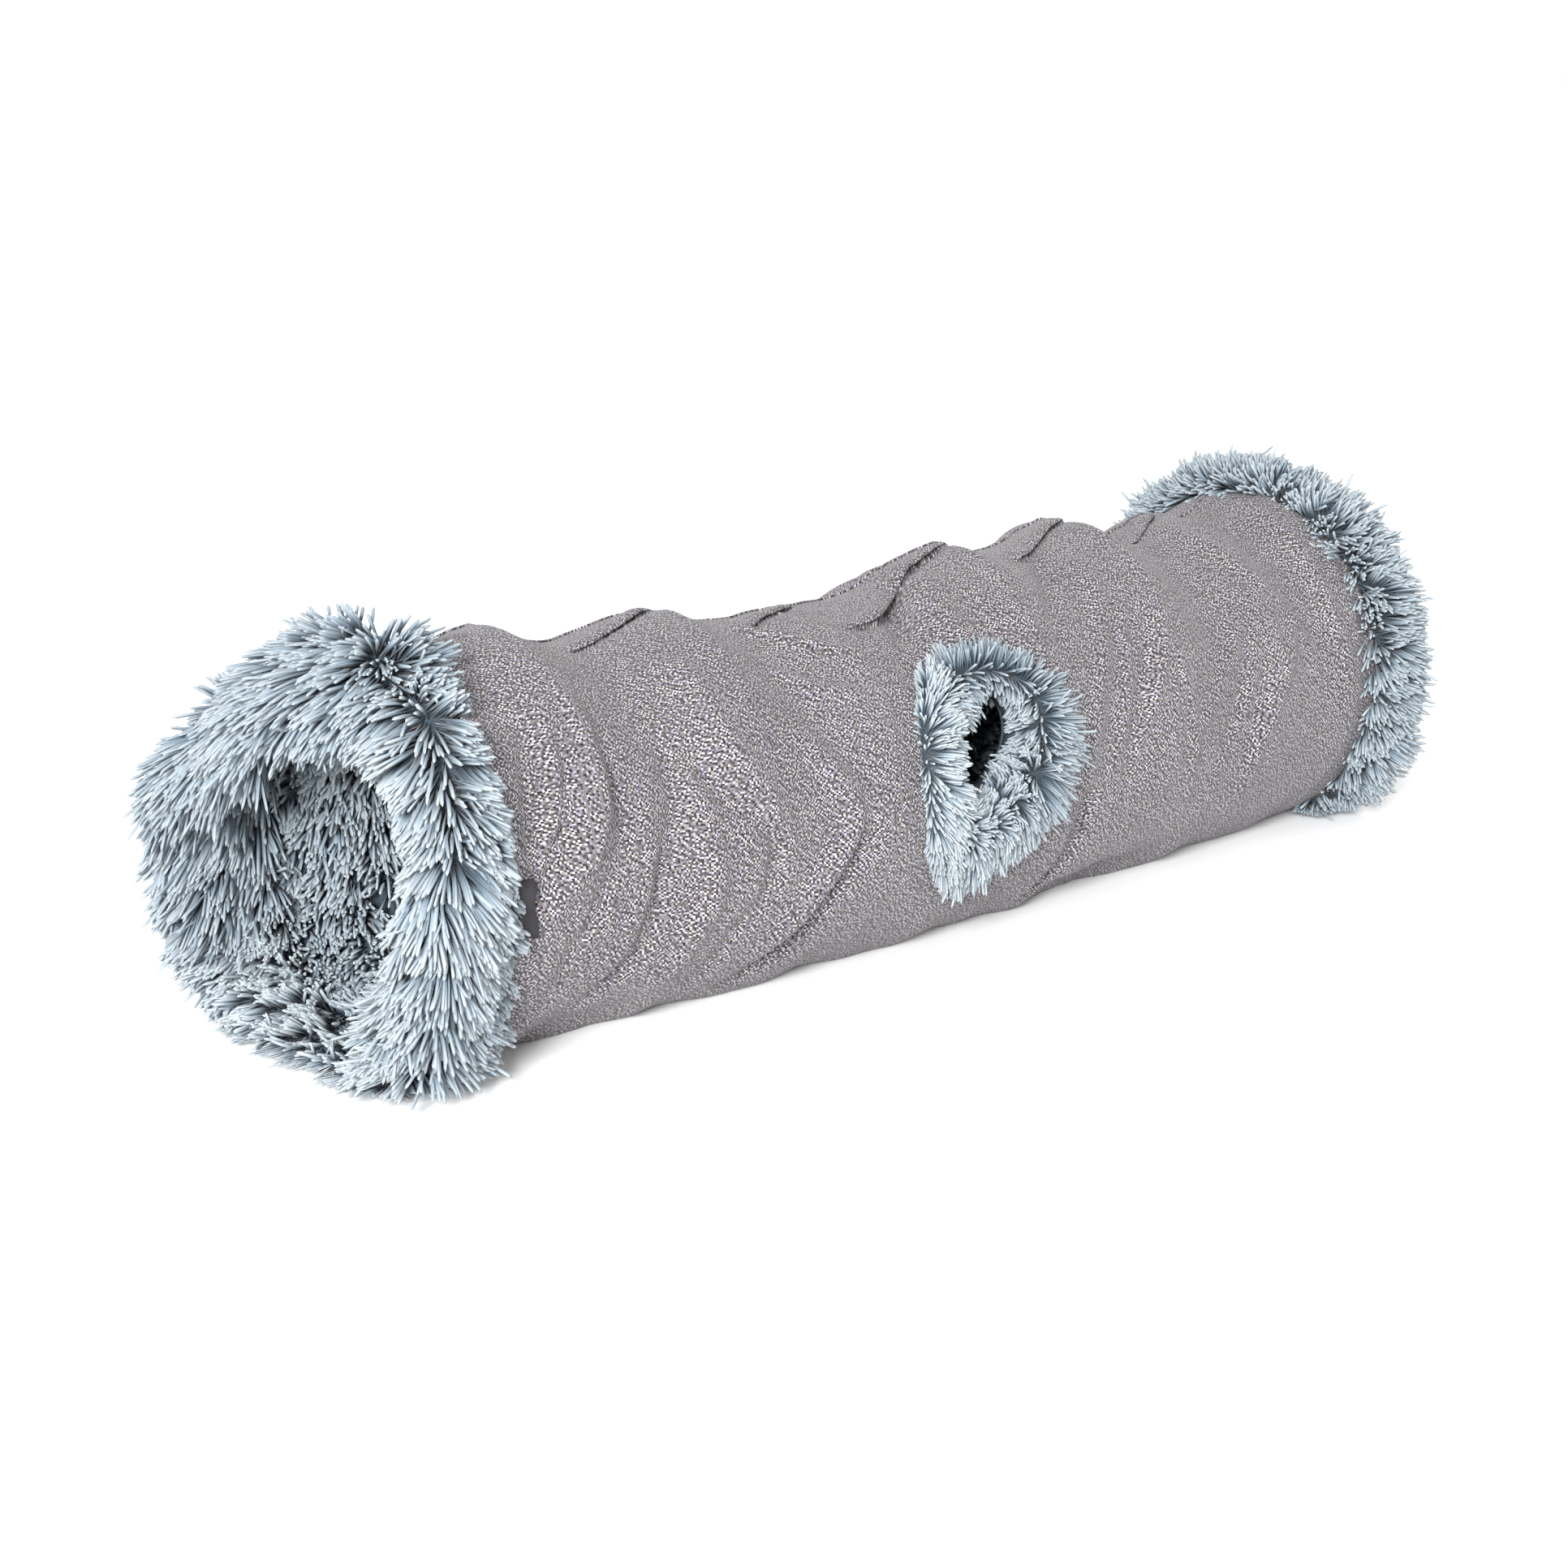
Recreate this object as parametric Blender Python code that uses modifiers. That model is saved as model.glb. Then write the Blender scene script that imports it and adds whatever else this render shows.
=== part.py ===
"""Collapsible cat tunnel: a woven cover over a spring-steel coil, lined and cuffed with plush.

Metres, +Z up. X runs along the tunnel, from the deep plush cuff at -X to the short one at +X,
and -Y is the side with the peephole. The origin is on the floor, below the middle of the tunnel.

A station is a distance along the cover from the near seam. An angle is in degrees round the
tunnel: 0 at the peephole's side, 90 at the top, 180 at the back and 270 at the floor. A depth is
a distance in from the cover's outer face, so it is negative outside the cover.
"""

import math
from bisect import bisect_right

import bmesh
import bpy
from mathutils import Matrix, Vector

# Tunnel
HOOP_RADIUS = 0.150
FABRIC_LENGTH = 0.960
REST_HALF_WIDTH = 0.057
NEAR_FLARE = 0.005
BOW = 0.022
bow_balance_share = 0.15

# Crests of the cover over the coil, at the top, as shares of the fabric's length
crest_shares = (0.0, 0.107, 0.270, 0.398, 0.582, 0.738, 0.887, 1.0)
first_turn_share = 11 / 32
CREST_DROP = 0.024
crest_drop_shares = (0.0, 0.05, 0.35, 1.0, -0.22, -0.28, 0.2, 0.0)

# Sag of the slack cloth between two turns of the coil
TOP_SAG = 0.032
SIDE_SAG = 0.008
LOW_BULGE = 0.013
sag_width_power = 1.5

# Layers
COVER_THICKNESS = 0.0015
LINING_THICKNESS = 0.012
WIRE_RADIUS = 0.00125
WIRE_CLEARANCE = 0.0014
SEAM_GAP = 0.0003

# Closing of the coil's end turns
HOOP_INSET = 0.003
TURN_CLEARANCE = 0.0008
TURN_END_GAP = 0.0010
FERRULE_LENGTH = 0.012
FERRULE_WALL = 0.0006
FERRULE_CLEARANCE = 0.0003

# Cuffs
NEAR_CUFF_LENGTH = 0.105
NEAR_CUFF_PROUD = 0.022
NEAR_CUFF_INWARD = 0.040
NEAR_CUFF_DROOP = 0.016
FAR_CUFF_LENGTH = 0.050
FAR_CUFF_PROUD = 0.034
FAR_CUFF_INWARD = 0.040
FAR_CUFF_DROOP = 0.004
near_cuff_shares = (
    (0.0, 0.15), (0.14, 0.65), (0.38, 1.0), (0.66, 0.98), (0.88, 0.60), (1.0, -0.10),
    (0.97, -0.62), (0.80, -0.96), (0.52, -1.0), (0.24, -0.85), (0.0, -0.50),
)
far_cuff_shares = (
    (0.0, 0.12), (0.22, 0.70), (0.58, 1.0), (0.90, 0.66), (1.0, -0.05),
    (0.90, -0.72), (0.56, -1.0), (0.20, -0.80), (0.0, -0.50),
)

# Peephole
PEEPHOLE_ANGLE = 12.0
PEEPHOLE_RADIUS = 0.046
peephole_station_share = 0.4635
BINDING_WALL = 0.0035
BINDING_PROUD = 0.0003
TRIM_SEAT = 0.0020
TRIM_THICKNESS = 0.018
TRIM_HOLE_ALONG = 0.032
TRIM_HOLE_ROUND = 0.036
TRIM_NEAR_SIDE = 0.047
TRIM_FAR_SIDE = 0.080
TRIM_ABOVE = 0.088
TRIM_BELOW = 0.104
trim_near_squareness = 0.45
trim_section_shares = (
    (0.0, 0.0), (0.0, 0.62), (0.22, 1.0), (0.55, 0.95), (0.86, 0.62), (1.0, 0.0),
    (0.75, 0.0), (0.5, 0.0), (0.25, 0.0),
)

# Side label
LABEL_LENGTH = 0.016
LABEL_THICKNESS = 0.0010
LABEL_SEAT = 0.0006
LABEL_INSET = 0.0008
LABEL_LOW_ANGLE = -9.0
LABEL_HIGH_ANGLE = 6.0

# Elastic loops at the far seam, and the corded toggles that they hold at the near seam
FASTENER_COUNT = 3
FASTENER_FIRST_ANGLE = 75.0
LOOP_LENGTH = 0.016
LOOP_HALF_WIDTH = 0.0045
LOOP_INSET = 0.0035
loop_root_share = 0.07
CORD_RADIUS = 0.0010
TOGGLE_LENGTH = 0.018
TOGGLE_RADIUS = 0.0036
TOGGLE_WAIST_RADIUS = 0.0020
TOGGLE_REACH = 0.0085
TOGGLE_INSET = 0.0052
FASTENER_SEAT = 0.0003

# Facets
SECTORS = 32
BAY_ROWS = 4
PEEPHOLE_SEGMENTS = 24
CUTTER_OVERRUN = 0.040
LOOP_STEPS = 12
TURNED_STEPS = 14
WIRE_BEVEL_RESOLUTION = 1
MERGE_DISTANCE = 0.0001
SHARP_ANGLE = 50.0
SETTLING_PASSES = 4

# Derived sizes
PEEPHOLE_STATION = peephole_station_share * FABRIC_LENGTH
BAYS = len(crest_shares) - 1
SECTOR_ANGLE = 360.0 / SECTORS
CREST_ANGLE = 90.0
AXIS_HEIGHT = math.sqrt(HOOP_RADIUS ** 2 - REST_HALF_WIDTH ** 2)
WIRE_DEPTH = COVER_THICKNESS + WIRE_CLEARANCE + WIRE_RADIUS
LINING_DEPTH = WIRE_DEPTH + WIRE_RADIUS + WIRE_CLEARANCE
LINING_INNER_DEPTH = LINING_DEPTH + LINING_THICKNESS
MEAN_PITCH = FABRIC_LENGTH / BAYS
TOTAL_LENGTH = NEAR_CUFF_LENGTH + FABRIC_LENGTH + FAR_CUFF_LENGTH
NEAR_SEAM_X = NEAR_CUFF_LENGTH - TOTAL_LENGTH / 2
CREST_STATIONS = [share * FABRIC_LENGTH for share in crest_shares]
TURN_INSET = HOOP_INSET + 2 * WIRE_RADIUS + TURN_CLEARANCE
NEAR_FERRULE_ANGLE = CREST_ANGLE + 360.0 * first_turn_share - SECTOR_ANGLE / 2
FAR_FERRULE_ANGLE = CREST_ANGLE + SECTOR_ANGLE / 2
PEEPHOLE_TURNS = [2 * math.pi * (k + 0.5) / PEEPHOLE_SEGMENTS for k in range(PEEPHOLE_SEGMENTS)]
FASTENER_ANGLES = [FASTENER_FIRST_ANGLE + k * 360.0 / FASTENER_COUNT for k in range(FASTENER_COUNT)]


# Shape of the slack tube

def interpolate(value, xs, ys):
    """Straight lines through the points (xs, ys), held level past both ends."""
    if value <= xs[0]:
        return ys[0]
    if value >= xs[-1]:
        return ys[-1]
    i = bisect_right(xs, value) - 1
    share = (value - xs[i]) / (xs[i + 1] - xs[i])
    return ys[i] + share * (ys[i + 1] - ys[i])


def axis_y(station):
    """Side to side place of the tunnel's axis, which bows towards the peephole's side."""
    share = min(max(station / FABRIC_LENGTH, 0.0), 1.0)
    return BOW * (bow_balance_share - math.sin(math.pi * share))


def turn_station(turn):
    """Station of the coil's wire after so many turns. Whole turns lie at the top."""
    turns = [first_turn_share] + list(range(1, BAYS + 1))
    return interpolate(turn, turns, CREST_STATIONS)


def wire_stations(angle):
    """Stations where the wire and the two end hoops cross one line along the cover."""
    offset = ((angle - CREST_ANGLE) % 360.0) / 360.0
    crossings = [0.0, FABRIC_LENGTH]
    for whole in range(BAYS):
        if whole + offset > first_turn_share:
            crossings.append(turn_station(whole + offset))
    return sorted(crossings)


def sag(station, angle):
    """How far the slack cloth hangs in from the hoops' radius, or out from it low on the sides."""
    crossings = wire_stations(angle)
    i = min(max(bisect_right(crossings, station) - 1, 0), len(crossings) - 2)
    width = crossings[i + 1] - crossings[i]
    if width <= 2 * WIRE_RADIUS:
        return 0.0
    rise = math.sin(math.radians(angle))
    if rise > 0:
        reach = SIDE_SAG + (TOP_SAG - SIDE_SAG) * rise ** sag_width_power
    else:
        reach = SIDE_SAG * (1.0 + rise) + LOW_BULGE * rise
    share = (station - crossings[i]) / width
    return reach * min((width / MEAN_PITCH) ** sag_width_power, 1.0) * math.sin(math.pi * share) ** 2


def crest_drop(station, angle):
    """Where the coil leans or is pressed down, its top is lower than a round hoop's."""
    drop = interpolate(station, CREST_STATIONS, [share * CREST_DROP for share in crest_drop_shares])
    return drop * max(math.sin(math.radians(angle)), 0.0)


def slack_radius(station, angle):
    flare = NEAR_FLARE * max(1.0 - station / CREST_STATIONS[1], 0.0)
    return HOOP_RADIUS + flare - sag(station, angle) - crest_drop(station, angle)


def bay_stations(bay):
    """The rows of one bay's cloth, from crest to crest."""
    start, end = CREST_STATIONS[bay - 1], CREST_STATIONS[bay]
    return [start + (end - start) * row / BAY_ROWS for row in range(BAY_ROWS + 1)]


ROW_STATIONS = [0.0] + [s for bay in range(1, BAYS + 1) for s in bay_stations(bay)[1:]]
COLUMN_ANGLES = [CREST_ANGLE + SECTOR_ANGLE * column for column in range(SECTORS)]
RADII = [[slack_radius(s, a) for a in COLUMN_ANGLES] for s in ROW_STATIONS]


def cover_radius(station, angle):
    """Radius of the cover's outer face, read between the rows and columns of its facets."""
    place = ((angle - CREST_ANGLE) % 360.0) / SECTOR_ANGLE
    column = int(place) % SECTORS
    across = place - int(place)
    following = (column + 1) % SECTORS
    here = interpolate(station, ROW_STATIONS, [row[column] for row in RADII])
    there = interpolate(station, ROW_STATIONS, [row[following] for row in RADII])
    return here + across * (there - here)


def tube_point(station, angle, radius, floor):
    """A point at a radius round the tunnel's axis, kept above the floor layer it rests on."""
    turn = math.radians(angle)
    y = axis_y(station) - radius * math.cos(turn)
    z = AXIS_HEIGHT + radius * math.sin(turn)
    return Vector((NEAR_SEAM_X + station, y, max(z, floor)))


def layer_point(station, angle, depth):
    return tube_point(station, angle, cover_radius(station, angle) - depth, max(depth, 0.0))


def facet_point(station, angle, depth=0.0):
    """A point on the flat facet between two columns, and not on the curve through them."""
    place = (angle - CREST_ANGLE) / SECTOR_ANGLE
    column = math.floor(place)
    low = layer_point(station, CREST_ANGLE + column * SECTOR_ANGLE, depth)
    high = layer_point(station, CREST_ANGLE + (column + 1) * SECTOR_ANGLE, depth)
    return low.lerp(high, place - column)


# Scene, materials and making of objects

def clear_scene():
    for old in list(bpy.data.objects):
        bpy.data.objects.remove(old, do_unlink=True)


def new_collection(name):
    collection = bpy.data.collections.new(name)
    bpy.context.scene.collection.children.link(collection)
    return collection


def new_material(name, color, roughness, metallic=0.0):
    material = bpy.data.materials.new(name)
    material.use_nodes = True
    shader = material.node_tree.nodes["Principled BSDF"]
    shader.inputs["Base Color"].default_value = (*color, 1.0)
    shader.inputs["Roughness"].default_value = roughness
    shader.inputs["Metallic"].default_value = metallic
    return material


def new_body(name, place):
    """An empty at the joint of one moving body. Its pieces are its children."""
    empty = bpy.data.objects.new(name, None)
    empty.empty_display_size = HOOP_RADIUS
    empty.matrix_world = place
    TUNNEL.objects.link(empty)
    return empty


def add_object(name, data, material, body, place=None):
    """Adds a piece. Without a place its mesh is in world points, and its origin goes to its body."""
    piece = bpy.data.objects.new(name, data)
    TUNNEL.objects.link(piece)
    piece.data.materials.append(material)
    piece.parent = body
    if place is None:
        data.transform(body.matrix_world.inverted())
    else:
        piece.matrix_parent_inverse = body.matrix_world.inverted()
        piece.matrix_world = place
    return piece


def closed_loft(name, rings, material, body):
    """Joins rings of points into one solid that closes both round the rings and along them."""
    mesh = bpy.data.meshes.new(name)
    bm = bmesh.new()
    loops = [[bm.verts.new(point) for point in ring] for ring in rings]
    for i, loop in enumerate(loops):
        following = loops[(i + 1) % len(loops)]
        for j in range(len(loop)):
            k = (j + 1) % len(loop)
            bm.faces.new((loop[j], following[j], following[k], loop[k]))
    bmesh.ops.recalc_face_normals(bm, faces=bm.faces)
    bm.to_mesh(mesh)
    bm.free()
    mesh.shade_smooth()
    mesh.set_sharp_from_angle(angle=math.radians(SHARP_ANGLE))
    return add_object(name, mesh, material, body)


def wire(name, points, radius, material, body, place=None):
    """A round wire or cord through the points, with filled ends."""
    curve = bpy.data.curves.new(name, "CURVE")
    curve.dimensions = "3D"
    curve.bevel_depth = radius
    curve.bevel_resolution = WIRE_BEVEL_RESOLUTION
    curve.use_fill_caps = True
    spline = curve.splines.new("POLY")
    spline.points.add(len(points) - 1)
    for target, point in zip(spline.points, points):
        target.co = (*point, 1.0)
    spline.use_smooth = True
    return add_object(name, curve, material, body, place)


def turned(name, profile, material, body, place, hollow=False):
    """A profile of (radius, height), from top to bottom, turned round its own Z axis."""
    mesh = bpy.data.meshes.new(name)
    bm = bmesh.new()
    verts = [bm.verts.new((radius, 0.0, height)) for radius, height in profile]
    for first, second in zip(verts, verts[1:]):
        bm.edges.new((first, second))
    if hollow:
        bm.edges.new((verts[-1], verts[0]))
    bm.to_mesh(mesh)
    bm.free()
    piece = add_object(name, mesh, material, body, place)
    screw = piece.modifiers.new("turn", "SCREW")
    screw.axis = "Z"
    screw.steps = TURNED_STEPS
    screw.render_steps = TURNED_STEPS
    screw.use_merge_vertices = True
    screw.merge_threshold = MERGE_DISTANCE
    return piece


# Frames on the cover

def seam_place(station, angle, lift):
    """X along the tunnel, Y round it and Z out of it, with its origin just off the cover."""
    turn = math.radians(angle)
    round_axis = Vector((0.0, math.sin(turn), math.cos(turn)))
    out_axis = Vector((0.0, -math.cos(turn), math.sin(turn)))
    origin = facet_point(station, angle) + out_axis * lift
    place = Matrix((Vector((1.0, 0.0, 0.0)), round_axis, out_axis)).transposed().to_4x4()
    place.translation = origin
    return place


# Cover, lining and coil, one bay at a time

def bay_layer(name, bay, outer_depth, inner_depth, material, body):
    """One bay of cloth: its outer face, and its inner face going back."""
    stations = bay_stations(bay)
    stations[0] += SEAM_GAP / 2
    stations[-1] -= SEAM_GAP / 2
    outer = [[layer_point(s, a, outer_depth) for a in COLUMN_ANGLES] for s in stations]
    inner = [[layer_point(s, a, inner_depth) for a in COLUMN_ANGLES] for s in reversed(stations)]
    return closed_loft(name, outer + inner, material, body)


def wire_point(turn):
    """The wire's middle. It runs beside the end hoops instead of into them."""
    station = min(max(turn_station(turn), TURN_INSET), FABRIC_LENGTH - TURN_INSET)
    return layer_point(station, CREST_ANGLE + 360.0 * turn, WIRE_DEPTH)


def coil_turn(bay, body):
    """The part of the one wound wire that lies in a bay, trimmed where the next one starts."""
    trim = TURN_END_GAP / (4 * math.pi * HOOP_RADIUS)
    first = first_turn_share if bay == 1 else bay - 1
    steps = round((bay - first) * SECTORS)
    turns = [first + k / SECTORS for k in range(steps + 1)]
    turns[0] += trim
    turns[-1] -= trim
    points = [wire_point(turn) for turn in turns]
    return wire(f"coil_turn_{bay}", points, WIRE_RADIUS, SPRING_STEEL, body)


def end_hoop(name, station, ferrule_angle, body):
    """The coil's flat end turn, whose two ends meet inside the ferrule."""
    start = facet_point(station, ferrule_angle, WIRE_DEPTH)
    toward = facet_point(station, ferrule_angle + SECTOR_ANGLE / 4, WIRE_DEPTH) - start
    step = toward.normalized() * SEAM_GAP
    first = ferrule_angle + SECTOR_ANGLE / 2
    ring = [layer_point(station, first + k * SECTOR_ANGLE, WIRE_DEPTH) for k in range(SECTORS)]
    return wire(name, [start + step] + ring + [start - step], WIRE_RADIUS, SPRING_STEEL, body)


def ferrule(name, station, angle, body):
    """A crimped sleeve that closes an end turn."""
    middle = facet_point(station, angle, WIRE_DEPTH)
    toward = facet_point(station, angle + SECTOR_ANGLE / 4, WIRE_DEPTH) - middle
    place = toward.to_track_quat("Z", "Y").to_matrix().to_4x4()
    place.translation = middle
    bore = WIRE_RADIUS + FERRULE_CLEARANCE
    half = FERRULE_LENGTH / 2
    skin = bore + FERRULE_WALL
    profile = [(skin, half), (skin, -half), (bore, -half), (bore, half)]
    return turned(name, profile, CRIMP_BRASS, body, place, hollow=True)


# Cuffs

def cuff(name, seam_station, direction, length, proud, inward, droop, shares, material, body):
    """A band of plush that rolls out past the seam and back in to the mouth."""
    rings = []
    for along, across in shares:
        station = seam_station + direction * (SEAM_GAP + along * (length - SEAM_GAP))
        reach = across * (proud if across > 0 else inward)
        ring = []
        for angle in COLUMN_ANGLES:
            point = tube_point(station, angle, cover_radius(seam_station, angle) + reach, 0.0)
            point.z -= droop * along * max(math.sin(math.radians(angle)), 0.0)
            ring.append(point)
        rings.append(ring)
    return closed_loft(name, rings, material, body)


# Peephole

def peephole_point(along, across, depth):
    """A point off the peephole's middle, square to its axis, at a depth below the cover's face."""
    station = PEEPHOLE_STATION + along
    radius = cover_radius(station, PEEPHOLE_ANGLE) - depth
    for _ in range(SETTLING_PASSES):
        angle = PEEPHOLE_ANGLE + math.degrees(math.asin(across / radius))
        radius = cover_radius(station, angle) - depth
    return tube_point(station, angle, radius, 0.0)


def peephole_cutter():
    """A round bar along the peephole's axis, through the cover and the lining."""
    place = seam_place(PEEPHOLE_STATION, PEEPHOLE_ANGLE, 0.0)
    depth = LINING_INNER_DEPTH + 2 * CUTTER_OVERRUN
    bpy.ops.mesh.primitive_cylinder_add(
        vertices=PEEPHOLE_SEGMENTS, radius=PEEPHOLE_RADIUS, depth=depth)
    cutter = bpy.context.object
    cutter.name = "peephole_cutter"
    cutter.matrix_world = place @ Matrix.Translation((0.0, 0.0, -LINING_INNER_DEPTH / 2))
    for home in list(cutter.users_collection):
        home.objects.unlink(cutter)
    CUTTERS.objects.link(cutter)
    cutter.hide_render = True
    cutter.display_type = "WIRE"
    return cutter


def cut_peephole(piece, cutter):
    cut = piece.modifiers.new("peephole", "BOOLEAN")
    cut.operation = "DIFFERENCE"
    cut.solver = "EXACT"
    cut.object = cutter


def peephole_ring(outline, depth):
    """An outline's points, laid round the peephole at one depth."""
    return [peephole_point(along, across, depth) for along, across in outline]


def peephole_binding(body):
    """The sewn edge that joins cover and lining round the peephole."""
    outer = (PEEPHOLE_RADIUS - SEAM_GAP) * math.cos(math.pi / PEEPHOLE_SEGMENTS)
    inner = outer - BINDING_WALL
    rings = []
    for radius, depth in (
        (outer, -BINDING_PROUD), (outer, LINING_DEPTH), (outer, LINING_INNER_DEPTH),
        (inner, LINING_INNER_DEPTH), (inner, LINING_DEPTH), (inner, -BINDING_PROUD),
    ):
        outline = [(radius * math.cos(turn), radius * math.sin(turn)) for turn in PEEPHOLE_TURNS]
        rings.append(peephole_ring(outline, depth))
    return closed_loft("peephole_binding", rings, PLUSH_DARK, body)


def trim_point(turn, out):
    """From the hole's edge (out is 0) to the trim's, which is nearly straight on its near side."""
    along, across = math.cos(turn), math.sin(turn)
    hole_along, hole_across = TRIM_HOLE_ALONG * along, TRIM_HOLE_ROUND * across
    if along > 0:
        edge_along = TRIM_FAR_SIDE * along
    else:
        edge_along = -TRIM_NEAR_SIDE * abs(along) ** trim_near_squareness
    edge_across = across * (TRIM_ABOVE if across > 0 else TRIM_BELOW)
    return (hole_along + out * (edge_along - hole_along),
            hole_across + out * (edge_across - hole_across))


def peephole_trim(body):
    """A raised ring of plush round the peephole, which it half covers."""
    rings = []
    for out, up in trim_section_shares:
        outline = [trim_point(turn, out) for turn in PEEPHOLE_TURNS]
        rings.append(peephole_ring(outline, -(TRIM_SEAT + up * TRIM_THICKNESS)))
    return closed_loft("peephole_trim", rings, PLUSH, body)


# Label

def side_label(body):
    """A bare woven tab in the near seam, lying on the cover."""
    between = [a - 360.0 for a in COLUMN_ANGLES if LABEL_LOW_ANGLE < a - 360.0 < LABEL_HIGH_ANGLE]
    angles = [LABEL_LOW_ANGLE] + sorted(between) + [LABEL_HIGH_ANGLE]
    stations = (LABEL_INSET, (LABEL_INSET + LABEL_LENGTH) / 2, LABEL_LENGTH)
    mesh = bpy.data.meshes.new("side_label")
    bm = bmesh.new()
    rows = [[bm.verts.new(facet_point(s, a, -LABEL_SEAT)) for a in angles] for s in stations]
    for i in range(len(stations) - 1):
        for j in range(len(angles) - 1):
            bm.faces.new((rows[i][j], rows[i + 1][j], rows[i + 1][j + 1], rows[i][j + 1]))
    bm.to_mesh(mesh)
    bm.free()
    label = add_object("side_label", mesh, LABEL_TAPE, body)
    wall = label.modifiers.new("tape", "SOLIDIFY")
    wall.thickness = LABEL_THICKNESS
    wall.offset = 1.0
    return label


# Fasteners

def elastic_loop(number, body, place):
    """A small teardrop of elastic cord, standing out of the far seam."""
    low = math.sin(math.pi * loop_root_share) ** 2
    points = []
    for k in range(LOOP_STEPS + 1):
        share = loop_root_share + (1 - 2 * loop_root_share) * k / LOOP_STEPS
        out = LOOP_LENGTH * (math.sin(math.pi * share) ** 2 - low) / (1 - low)
        points.append((0.0, LOOP_HALF_WIDTH * math.sin(2 * math.pi * share), out))
    return wire(f"elastic_loop_{number}", points, CORD_RADIUS, ELASTIC, body, place)


def toggle_cord(number, body, place):
    """A short cord from the near seam, round the toggle's waist and back."""
    bend = TOGGLE_WAIST_RADIUS + FASTENER_SEAT + CORD_RADIUS
    points = [(0.0, 0.0, -bend), (TOGGLE_REACH / 2, 0.0, -bend)]
    for k in range(LOOP_STEPS // 2 + 1):
        turn = math.pi * (2 * k / LOOP_STEPS - 0.5)
        points.append((TOGGLE_REACH + bend * math.cos(turn), 0.0, bend * math.sin(turn)))
    points += [(TOGGLE_REACH / 2, 0.0, bend), (0.0, 0.0, bend)]
    return wire(f"toggle_cord_{number}", points, CORD_RADIUS, ELASTIC, body, place)


def toggle(number, body, place):
    """A waisted barrel, held crosswise in its cord."""
    half = TOGGLE_LENGTH / 2
    waist = CORD_RADIUS + FASTENER_SEAT
    profile = [
        (0.0, half), (TOGGLE_RADIUS / 2, half), (TOGGLE_RADIUS, half - TOGGLE_RADIUS / 2),
        (TOGGLE_RADIUS, 2 * waist), (TOGGLE_WAIST_RADIUS, waist),
    ]
    profile += [(radius, -height) for radius, height in reversed(profile)]
    across = place @ Matrix.Translation((TOGGLE_REACH, 0.0, 0.0)) @ Matrix.Rotation(math.pi / 2, 4, "X")
    return turned(f"toggle_{number}", profile, TOGGLE_PLASTIC, body, across)


def loop_place(angle):
    return seam_place(FABRIC_LENGTH - LOOP_INSET, angle, CORD_RADIUS)


def toggle_place(angle):
    bend = TOGGLE_WAIST_RADIUS + FASTENER_SEAT + CORD_RADIUS
    return seam_place(TOGGLE_INSET, angle, FASTENER_SEAT + CORD_RADIUS + bend)


# Assembly

clear_scene()
TUNNEL = new_collection("cat_tunnel")
CUTTERS = new_collection("cutters")
WOVEN = new_material("woven_cover", (0.27, 0.25, 0.26), 0.9)
PLUSH = new_material("plush_pile", (0.42, 0.50, 0.55), 0.95)
PLUSH_DARK = new_material("plush_lining", (0.24, 0.31, 0.36), 0.95)
SPRING_STEEL = new_material("spring_steel", (0.55, 0.55, 0.56), 0.35, 1.0)
CRIMP_BRASS = new_material("crimp_brass", (0.62, 0.50, 0.28), 0.4, 1.0)
ELASTIC = new_material("elastic_cord", (0.012, 0.012, 0.012), 0.7)
TOGGLE_PLASTIC = new_material("toggle_plastic", (0.012, 0.012, 0.012), 0.45)
LABEL_TAPE = new_material("label_tape", (0.045, 0.042, 0.05), 0.8)


def body_place(station):
    return Matrix.Translation((NEAR_SEAM_X + station, axis_y(station), AXIS_HEIGHT))


def peephole_bay():
    """The bay that the peephole's middle lies in."""
    return bisect_right(CREST_STATIONS, PEEPHOLE_STATION)


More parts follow.
